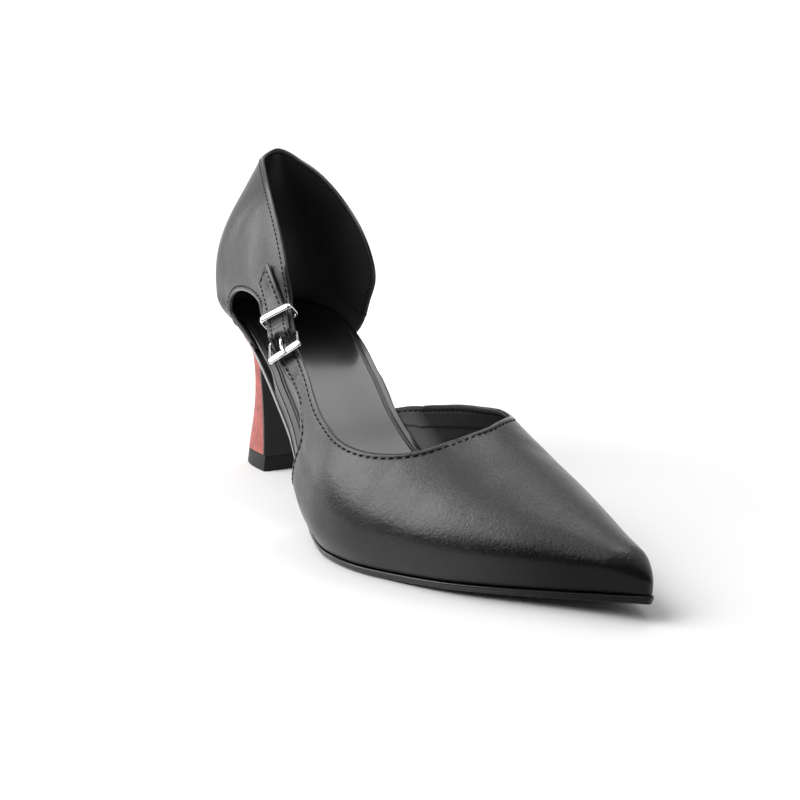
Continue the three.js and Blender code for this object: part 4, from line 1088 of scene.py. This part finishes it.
depth = pressed(base, QUARTER_CREASES, lambda way, up: quarter_point(np.stack([way, up], -1)))
height = folded(D, level, FOLD_RISE, QUARTER_GROOVE) - depth * smooth((D - 1.5) / 4)
outside = base + N * height[:, None]
N_out = quarter_sheet.normals(outside)
groove = 0.2 * np.exp(-((D - QUARTER_LINING_STITCH) / 0.4) ** 2) + 0.12 * smooth((D - 1.6) / 0.3)
inside = base - N * (QUARTER_WALL - groove - sunk_rim(D))[:, None]
depth = np.full(len(base), EDGE_BEAD)
depth[np.concatenate([cup_foot_ids[:, 0], lip_ids[:, 0]])] = FOOT_BEAD

shape = Shape()
walled(quarter_sheet, shape, outside, inside, depth)
top_row = joined(
    seam_line(outside, N_out, side_ids[4:], D, level, from_end=True),
    seam_line(outside, N_out, cup_ids[:-3], D, level, from_end=True),
)
hole_row = seam_line(outside, N_out, side_ids[4:], D, level)
N_in = -quarter_sheet.normals(inside)
level_in = np.full(len(base), QUARTER_LINING_STITCH)
lining_row = joined(
    seam_line(inside, N_in, side_ids[4:], D, level_in, from_end=True),
    seam_line(inside, N_in, cup_ids[:-3], D, level_in, from_end=True),
)
for line in (top_row, hole_row, lining_row):
    stitch_row(shape, line, COLLAR_PITCH)


# Its rolled end round the hinge bar, in two knuckles beside the prong
def local(axes, along, side, out):
    """A place given along, across and out of one of the strap's frames."""
    point, ahead, width, normal = axes
    along, side, out = [np.asarray(v, float)[..., None] for v in (along, side, out)]
    return point + ahead * along + width * side + normal * out


BAR_RADIUS = BAR / 2
PRONG_RADIUS = PRONG / 2
LOOP_HALF = -QUARTER_END[0, 1] * STRAP_WIDTH
hinge = strap_frame(0.0)
front = strap_frame(FRAME_REACH / STRAP_REACH)
bore = BAR_RADIUS + SEAM
roll = bore + LOOP_WALL
turns = np.linspace(0, 2 * math.pi, 41)[:-1]
for start, stop in ((-LOOP_HALF, -PRONG_RADIUS - SEAM), (PRONG_RADIUS + SEAM, LOOP_HALF)):
    rows = []
    section_line = [
        (start + 0.2, bore), (start, bore + 0.2), (start, roll - 0.25), (start + 0.25, roll),
        (stop - 0.25, roll), (stop, roll - 0.25), (stop, bore + 0.2), (stop - 0.2, bore),
        (start + 0.2, bore),
    ]
    for side, radius in section_line:
        out = HINGE_OUT + radius * np.sin(turns)
        rows.append(local(hinge, radius * np.cos(turns), np.full(len(turns), side), out))
    shape.grid(rows, close=True)
quarter = shape.make("quarter_upper", [leather, lining, thread, turned_edge])
# Shade is painted on the quarter up to 17 mm over the outer seat
mark_painted_shade(quarter, 17.0)
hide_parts("quarter")


# Sole: outsole with a glossy edge, and the board with its sock
# Share of the outline's points round the heel, how they crowd to the tip, and their number
HEEL_SHARE = 0.3
TOE_CROWD = 1.6
SOLE_STEPS = 220


def sole_outline(grow_out, grow_in, height_out, height_in, stretch):
    """Outer and inner points of the sole's outline from the heel back to the tip."""
    t = np.linspace(0, 1, SOLE_STEPS)
    join = back_seam(0.0) + CAP_RADIUS
    start = back_seam(0.0) - stretch
    tip = LENGTH + stretch
    turn = np.minimum(t / HEEL_SHARE, 1) * math.pi / 2
    ahead = 1 - (1 - np.maximum(t - HEEL_SHARE, 0) / (1 - HEEL_SHARE)) ** TOE_CROWD
    x = start + (join - start) * (1 - np.cos(turn)) + (tip - join) * ahead
    read = np.where(x < join, x, join + (x - join) * (LENGTH - join) / (tip - join))
    near = np.clip((tip - x) / TOE_CAP, 0, 1)
    fade = np.sqrt(np.maximum(1 - (1 - near) ** 2, 0))
    around = np.sin(turn) ** CAP_ROUND

    outer_y = (side_y(read, height_out(x), True) - grow_out(x) * fade) * around
    inner_y = (side_y(read, height_in(x), False) + grow_in(x) * fade) * around
    return x, outer_y, inner_y


def plate(shape, layers, rise, across, slots, dish=None):
    """A plate whose side follows the layers (grow, height) and whose faces are flat across."""
    outlines = []
    for grow_out, grow_in, height_out, height_in, up, stretch in layers:
        x, a, b = sole_outline(grow_out, grow_in, height_out, height_in, stretch)
        z = rise(x) + up
        outlines.append((np.stack([x, a, z], -1), np.stack([x, b, z], -1)))
    for k in range(len(layers) - 1):
        shape.grid(np.stack([outlines[k][0], outlines[k + 1][0]]), slots[k], flip=True)
        shape.grid(np.stack([outlines[k][1], outlines[k + 1][1]]), slots[k])
    for k, flip, slot in ((0, True, slots[0]), (-1, False, slots[-1])):
        a, b = outlines[k]
        w = graded(across, 1.5, "both")[None, :, None]
        face = a[:, None] * (1 - w) + b[:, None] * w
        if dish is not None and k == -1:
            face[..., 2] += dish(face, w[..., 0])
        shape.grid(face, slot, flip=flip)


def welded(shape, name, materials, bend=40):
    """Makes the piece, welds its parts and keeps edges sharper than bend crisp."""
    piece = shape.make(name, materials)
    work = bmesh.new()
    work.from_mesh(piece.data)
    bmesh.ops.remove_doubles(work, verts=work.verts, dist=1e-6)
    bmesh.ops.dissolve_degenerate(work, edges=work.edges, dist=1e-7)
    for edge in work.edges:
        edge.smooth = len(edge.link_faces) != 2 or edge.calc_face_angle(0) < math.radians(bend)
    work.to_mesh(piece.data)
    work.free()
    return piece


def under_seat(grow):
    """The edge's growth, drawn in where the heel cup's leather hides it."""
    return lambda x: grow - 1.2 * smooth((50 - x) / 16)


# Growth past the upper's foot and height, from the ground up
EDGE_ROWS = [
    (-0.75, 0.0), (-0.35, 0.08), (0.0, 0.35), (0.15, 0.75), (0.15, 0.95), (0.4, 1.1), (0.4, 1.9),
    (0.3, 2.15), (-0.1, OUTSOLE),
]
# The open waist, where the edge is polished above a height
WAIST_FROM = 46
WAIST_TO = 140
POLISH_ABOVE = 0.9

shape = Shape()
plate(
    shape,
    [(under_seat(g), under_seat(g), np.zeros_like, np.zeros_like, up, max(g, 0)) for g, up in EDGE_ROWS],
    sole_bottom, 18, [0] * (len(EDGE_ROWS) + 1))
outsole = welded(shape, "outsole_edge", [sole_black, polished_edge], 50)
for polygon in outsole.data.polygons:
    at = polygon.center * 1000 + Vector(SHIFT)
    upper_half = at.z > sole_bottom(at.x) + POLISH_ABOVE
    if WAIST_FROM < at.x < WAIST_TO and upper_half and abs(polygon.normal.z) < 0.75:
        polygon.material_index = 1
# Shade is painted on the outsole's edge round the outer seat and on the toe's outer side
mark_painted_shade(outsole, 9.0)
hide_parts("outsole")


def open_out(x):
    """Where the board reaches the outer edge, beside the open waist."""
    return smooth((x - 76) / 8) * smooth((127 - x) / 6)


def open_in(x):
    """The same on the inner side."""
    return smooth((x - 79) / 6) * smooth((97 - x) / 6)


def board_layer(extra, up):
    """A layer of the board: drawn in under the upper, out to the edge at the waist."""

    def grow(opened):
        return lambda x: -(INSOLE_INSET + extra) + (INSOLE_INSET - SEAM) * opened(x)

    def level(opened):
        return lambda x: up * (1 - opened(x))

    return (grow(open_out), grow(open_in), level(open_out), level(open_in), up, -INSOLE_INSET - extra)


def sock_dish(face, w):
    """A shallow dish with a pressed line along the rolled edge."""
    near = smooth((face[..., 0] - 5) / 30)
    bow = np.sin(math.pi * w)
    rim = np.minimum(face[..., 1] - face[:, :1, 1], face[:, -1:, 1] - face[..., 1])
    line = 0.4 * np.exp(-((rim - 3.0) / 0.55) ** 2) + 0.12 * smooth((rim - 3.0) / 0.6)
    return -(1.1 * bow ** 2 + line) * near * smooth((180 - face[..., 0]) / 40)


# Drawing in and height of the board's five layers, then of the sock's
BOARD_ROWS = [(0.5, -0.4), (0.1, -0.25), (0.0, 0.2), (0.0, 1.2), (0.15, 1.45)]
SOCK_ROWS = [
    (0.45, 1.6), (0.15, 1.75), (0.0, 2.0), (0.0, 2.7), (0.15, 3.15), (0.5, 3.45), (1.0, INSOLE),
]

shape = Shape()
plate(shape, [board_layer(extra, up) for extra, up in BOARD_ROWS + SOCK_ROWS], feather, 84,
      [1] * len(BOARD_ROWS) + [0] * len(SOCK_ROWS), sock_dish)
insole = welded(shape, "sock_and_board", [sock, board], 60)
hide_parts("insole")

# Heel
heel_read = [curve(HEEL, k) for k in (1, 2, 3)]
SEAT_MIDDLE = float(sole_bottom(HEEL_SETBACK + HEEL_DEPTH / 2))


def heel_size(height):
    """Back, breast and half width of the heel at a height."""
    up = height / SEAT_MIDDLE
    back, breast, half = [read(up) for read in heel_read]
    return HEEL_SETBACK + back * HEEL_DEPTH, HEEL_SETBACK + breast * HEEL_DEPTH, half * HEEL_WIDTH


# Points round the heel's back and across its breast, rings up it, and easing at its ends
HEEL_RING = 72
BREAST_RING = 24
HEEL_RINGS = 71
HEEL_EASE = 0.3
# Pieces of the heel stand this far off their neighbours
HEEL_GAP = 0.1


def heel_ring(size, inset, back_off, corner):
    """Ring from the outer breast corner round the back, with eased corners."""
    back, breast, half = size
    breast, back, half = breast - back_off, back + inset, half - inset
    angle = np.linspace(-0.5, 0.5, HEEL_RING) * math.pi
    x = breast - (breast - back) * np.cos(angle) ** HEEL_SQUARE
    swell = 1 + HEEL_SWELL * np.sin(2 * np.abs(angle))
    y = np.sign(angle) * half * swell * np.abs(np.sin(angle)) ** HEEL_SQUARE
    side = np.linspace(1, -1, BREAST_RING)
    face = np.stack([np.full(BREAST_RING, breast), side * half], -1)
    ring = np.vstack([np.stack([x, y], -1), face[1:-1]])
    near_side = np.clip(1 - np.abs(half - np.abs(ring[:, 1])) / corner, 0, 1)
    pull = near_side * np.clip(1 - (breast - ring[:, 0]) / corner, 0, 1)
    ring[:, 0] -= 0.3 * corner * pull
    ring[:, 1] -= np.sign(ring[:, 1]) * 0.3 * corner * pull
    return ring


def stacked(shape, rings):
    """Adds a skin through the rings, closed at the first and the last."""
    shape.grid(rings, close=True)
    steps = np.linspace(0, 1, 5)[:, None, None]
    for ring, flip in ((rings[0], False), (rings[-1], True)):
        middle = ring.mean(0)
        shape.grid(middle + (ring - middle) * steps, flip=flip, close=True)


def column(shape, ring_at):
    """Rings from the top piece to the sole, eased at both ends."""
    levels = np.r_[0, np.linspace(0, 1, HEEL_RINGS), 1]
    last = len(levels) - 1
    base = TOP_PIECE + HEEL_GAP
    rings = []
    for k, t in enumerate(levels):
        middle = base + (SEAT_MIDDLE - HEEL_GAP - base) * t
        ring = ring_at(heel_size(middle), HEEL_EASE if k in (0, last) else 0.0)
        z = base + (sole_bottom(ring[:, 0]) - HEEL_GAP - base) * t
        z += HEEL_EASE * ((k == 1) - (k == last - 1))
        rings.append(np.column_stack([ring, z]))
    stacked(shape, rings)


shape = Shape()
column(shape, lambda size, inset: heel_ring(size, inset, BREAST_COVER + HEEL_GAP, 0.4))
heel = welded(shape, "covered_heel", [coral])
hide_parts("heel")


def cover_ring(size, inset):
    """Ring of the breast's cover, a little wider than the heel, with soft front edges."""
    breast, half = size[1], size[2] + 0.12 - inset
    side = np.linspace(-1, 1, 17)
    behind = np.stack([np.full(len(side), breast - BREAST_COVER), side * half], -1)
    inner_edge = np.array([[breast - 0.5, half], [breast - 0.2, half - 0.06]])
    front = np.stack([breast + 0.1 - 0.35 * np.abs(side[::-1]) ** 14, side[::-1] * half], -1)
    outer_edge = inner_edge[::-1] * (1, -1)
    return np.vstack([behind, inner_edge, front, outer_edge])


shape = Shape()
column(shape, cover_ring)
breast_piece = welded(shape, "breast_cover", [breast_black])
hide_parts("heel_breast")

# Height and inset of the top piece's rings
TOP_PIECE_ROWS = [
    (0.0, 0.5), (0.15, 0.2), (0.5, 0.05), (1.0, 0.0), (5.9, 0.0), (6.3, 0.05), (6.6, 0.25), (6.75, 0.5),
    (TOP_PIECE, 0.5),
]

shape = Shape()
rings = []
for up, inset in TOP_PIECE_ROWS:
    ring = heel_ring(heel_size(up), inset, 0.0, 0.9)
    rings.append(np.column_stack([ring, np.full(len(ring), up)]))
stacked(shape, rings)
top_piece = welded(shape, "top_piece_rubber", [rubber], 30)
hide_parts("top_piece")

# Buckle
FRONT_OUT = float(strap_top((FRAME_REACH - 2 * BAR) / STRAP_REACH)) + SEAM + BAR_RADIUS
PRONG_OUT = FRONT_OUT + BAR_RADIUS + 0.2


BAR_STEP = 0.22


def rounded(corners, radius, close=True):
    """A line through corners with each corner turned by an arc."""
    corners = np.asarray(corners, float)
    n = len(corners)
    line = []
    for k in range(n):
        if not close and k in (0, n - 1):
            line.append(corners[k][None])
            continue
        a, b, c = corners[k - 1], corners[k], corners[(k + 1) % n]
        u, v = unit(a - b), unit(c - b)
        cut = min(radius, 0.45 * np.linalg.norm(a - b), 0.45 * np.linalg.norm(c - b))
        s = np.linspace(0, 1, 9)[:, None]
        line.append((b + u * cut) * (1 - s) ** 2 + 2 * b * s * (1 - s) + (b + v * cut) * s * s)
    line = np.concatenate(line)
    if close:
        return refine(np.vstack([line, line[:1]]), BAR_STEP)[:-1]
    return refine(line, BAR_STEP)


def swept(shape, line, out_hint, radii, close=False, sides=16, square=1.0):
    """A bar along a line: radii gives its half width and half thickness per point."""
    if close:
        ahead = unit(np.roll(line, -1, 0) - np.roll(line, 1, 0))
    else:
        ahead = unit(np.gradient(line, axis=0))
    out = unit(out_hint - ahead * (out_hint * ahead).sum(-1, keepdims=True))
    across = np.cross(ahead, out)
    turn = np.linspace(0, 2 * math.pi, sides + 1)[:-1]
    c, s = np.cos(turn), np.sin(turn)
    profile = np.stack([np.sign(c) * np.abs(c) ** square, np.sign(s) * np.abs(s) ** square], -1)
    rows = line[:, None] + across[:, None] * (profile[None, :, :1] * radii[:, None, :1]) \
        + out[:, None] * (profile[None, :, 1:] * radii[:, None, 1:])
    if close:
        shape.grid(np.concatenate([rows, rows[:1]]), close=True)
        return
    caps = []
    for end, way in ((0, -1), (-1, 1)):
        thin = ahead[end] * radii[end].min() * way
        tip = np.repeat((line[end] + thin * 0.6)[None, None], sides, 1)
        shoulder = line[end] + (rows[end] - line[end]) * 0.6 + thin * 0.45
        caps.append((tip, shoulder[None]))
    shape.grid(np.concatenate([*caps[0], rows, *caps[1][::-1]]), close=True)


hinge_half = LOOP_HALF + SEAM + BAR_RADIUS
front_half = FRAME_WIDTH / 2 - BAR_RADIUS
corners = np.array([
    local(hinge, 0, -hinge_half, HINGE_OUT), local(hinge, 0, hinge_half, HINGE_OUT),
    local(front, 0, front_half, FRONT_OUT), local(front, 0, -front_half, FRONT_OUT),
])
SIDE_BAR = (0.62, 0.8)

shape = Shape()
sides_line = rounded([corners[3], corners[0], corners[1], corners[2]], 1.3, close=False)
hints = np.broadcast_to(hinge[3], sides_line.shape)
swept(shape, sides_line, hints, np.tile([SIDE_BAR], (len(sides_line), 1)), square=0.7)
w = np.linspace(-1, 1, 61)
bar_out = FRONT_OUT - 0.22 * np.exp(-(w / 0.16) ** 2)
bar_line = local(front, np.zeros_like(w), w * (front_half + 0.45), bar_out)
wide = 1.75 - 0.35 * np.exp(-(w / 0.2) ** 2) - 0.25 * np.clip((np.abs(w) - 0.9) / 0.1, 0, 1)
thick = 0.78 - 0.26 * np.exp(-(w / 0.17) ** 2) - 0.15 * np.clip((np.abs(w) - 0.9) / 0.1, 0, 1)
hints = np.broadcast_to(front[3], bar_line.shape)
swept(shape, bar_line, hints, np.stack([wide, thick], -1), sides=20, square=0.75)
frame_piece = welded(shape, "buckle_frame_bars", [silver], 60)
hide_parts("buckle_frame")

on = -KEEPER_BACK / STRAP_REACH
seat = strap_frame(on)
backwards = QUARTER_END[::-1]
low_edge, high_edge = [float(curve(backwards, k)(on)) * STRAP_WIDTH for k in (1, 2)]
low_edge = low_edge - KEEPER_PLAY - KEEPER_ROD
high_edge = high_edge + KEEPER_PLAY + KEEPER_ROD
over = float(strap_top(on)) + 2 * SEAM + KEEPER_ROD
under = -(QUARTER_WALL + KEEPER_ROOM + KEEPER_ROD)
hoop_corners = [(low_edge, over), (low_edge, under), (high_edge, under), (high_edge, over)]
hoop = rounded([local(seat, 0, side, out) for side, out in hoop_corners], 2.0)
mid = local(seat, 0, (low_edge + high_edge) / 2, (over + under) / 2)
lift = (hoop - mid) @ seat[3] / (over - under)
wide = 0.55 + 0.9 * smooth((lift - 0.3) / 0.17)
shape = Shape()
swept(shape, hoop, unit(hoop - mid), np.stack([wide, np.full(len(wide), 0.55)], -1), close=True, square=0.8)
keeper_piece = welded(shape, "buckle_keeper_hoop", [silver], 60)
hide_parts("buckle_keeper")

CURL_FROM = 290
CURL_SWEEP = 215
reach = BAR_RADIUS + SEAM + PRONG_RADIUS
bend = np.radians(CURL_FROM - CURL_SWEEP * np.linspace(0, 1, 24))
curl = local(hinge, reach * np.cos(bend), np.zeros_like(bend), HINGE_OUT + reach * np.sin(bend))
rise_line = np.array([local(hinge, a, 0.0, b) for a, b in PRONG_RISE])
tip = np.array([local(front, a, 0.0, PRONG_OUT - 0.05 * max(a, 0)) for a in (-1.5, 0, 1.5)])
raw = np.vstack([curl, rise_line, tip])
knots = np.column_stack([np.r_[0, np.cumsum(np.linalg.norm(np.diff(raw, axis=0), axis=1))], raw])
t = np.linspace(0, knots[-1, 0], 90)
prong_line = np.stack([curve(knots, k)(t) for k in (1, 2, 3)], -1)
radii = np.full(len(t), PRONG_RADIUS)
radii = radii * (1 - 0.35 * smooth((t - t[-1] + 3) / 3))
hint = np.broadcast_to(hinge[2], prong_line.shape)
shape = Shape()
swept(shape, prong_line, hint, np.stack([radii, radii], -1), sides=14)
prong_piece = welded(shape, "buckle_prong_pin", [silver], 60)
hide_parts("buckle_prong")

# Studio: a floor that glows away from the shoe, as a paper sweep under soft boxes does
GLOW_FROM = 0.12
GLOW_TO = 0.6
GLOW = 0.9
FLOOR_RADII = (1, 150, 300, 600, 1200, 3000, 9000)

floor_look = shader("pale_floor", (0.86, 0.86, 0.86), 0.7, specular=0.2)
tree = floor_look.node_tree
coords = tree.nodes.new("ShaderNodeTexCoord")
reach_of = tree.nodes.new("ShaderNodeVectorMath")
reach_of.operation = "LENGTH"
tree.links.new(coords.outputs["Object"], reach_of.inputs[0])
glow = ranged(tree, reach_of.outputs["Value"], GLOW_FROM, GLOW_TO, 0.0, GLOW, soft=True)
tree.links.new(glow, tree.nodes["Principled BSDF"].inputs["Emission Strength"])
tree.nodes["Principled BSDF"].inputs["Emission Color"].default_value = (1, 1, 1, 1)
ring = np.linspace(0, 2 * math.pi, 97)[:-1]
round_ring = np.stack([np.cos(ring), np.sin(ring), np.zeros_like(ring)], -1)
shape = Shape()
shape.grid([radius * round_ring + SHIFT * (1, 1, 0) for radius in FLOOR_RADII], close=True)
floor = shape.make("floor", [floor_look])

# The studio's walls: lighter behind the heel on the inner side, white where the camera looks
LIGHT_WAY = (-0.9, 0.42, 0.1)
WHITE_WAY = (-0.88, 0.47, 0.05)

world = bpy.data.worlds.new("studio")
bpy.context.scene.world = world
world.use_nodes = True
tree = world.node_tree
coords = tree.nodes.new("ShaderNodeTexCoord")


def facing_way(way):
    """A socket with how far a direction of the world points along way."""
    node = tree.nodes.new("ShaderNodeVectorMath")
    node.operation = "DOT_PRODUCT"
    node.inputs[1].default_value = way
    tree.links.new(coords.outputs["Generated"], node.inputs[0])
    return node.outputs["Value"]


walls = ranged(tree, facing_way(LIGHT_WAY), -0.45, 0.45, 0.05, 0.62, soft=True)
backdrop = ranged(tree, facing_way(WHITE_WAY), 0.83, 0.89, 0.0, 0.5, soft=True)
tree.links.new(maths(tree, "ADD", walls, backdrop), tree.nodes["Background"].inputs["Strength"])
tree.nodes["Background"].inputs["Color"].default_value = (1, 1, 1, 1)


def lamp(name, azimuth, elevation, distance, aim, size, radiance):
    """A soft box that stands at a direction from the aim, by its brightness."""
    a, e = math.radians(azimuth), math.radians(elevation)
    way = Vector((math.cos(e) * math.cos(a), math.cos(e) * math.sin(a), math.sin(e)))
    spot = Vector(aim) + distance * way
    light = bpy.data.lights.new(name, "AREA")
    light.shape = "RECTANGLE"
    light.size, light.size_y = size
    light.energy = radiance * math.pi * size[0] * size[1]
    holder = bpy.data.objects.new(name, light)
    bpy.context.scene.collection.objects.link(holder)
    holder.location = spot
    holder.rotation_euler = (Vector(aim) - spot).to_track_quat("-Z", "Y").to_euler()
    holder.visible_camera = False


lamp("side_box", -112, 48, 1.3, (0.02, 0, 0.05), (1.1, 1.2), 5.0)
lamp("top_box", 112, 64, 1.4, (0, 0, 0.05), (0.42, 0.5), 3.6)
lamp("over_box", -136, 79, 1.4, (0.05, 0, 0.04), (0.5, 0.45), 2.8)
lamp("back_left", 214, 14, 1.6, (0, 0, 0.06), (0.3, 0.6), 4.6)

bpy.context.scene.view_settings.view_transform = "Standard"

# Camera, placed in the shoe's millimetres
EYE = (409.92, -146.76, 94.44)
SENSOR_WIDTH = 36.0
FOCAL_LENGTH = 40.48
RIGHT = Vector((0.47292, 0.88105, -0.00949))
UPWARD = Vector((-0.13516, 0.08319, 0.98732))
FORWARD = Vector((-0.87068, 0.46564, -0.15843))

camera = bpy.data.objects.new("camera", bpy.data.cameras.new("camera"))
bpy.context.scene.collection.objects.link(camera)
camera.data.sensor_width = SENSOR_WIDTH
camera.data.lens = FOCAL_LENGTH
camera.data.clip_start = 0.01
turn = Matrix((RIGHT, UPWARD, -FORWARD)).transposed().to_4x4()
camera.matrix_world = Matrix.Translation(Vector(to_frame(EYE))) @ turn
bpy.context.scene.camera = camera
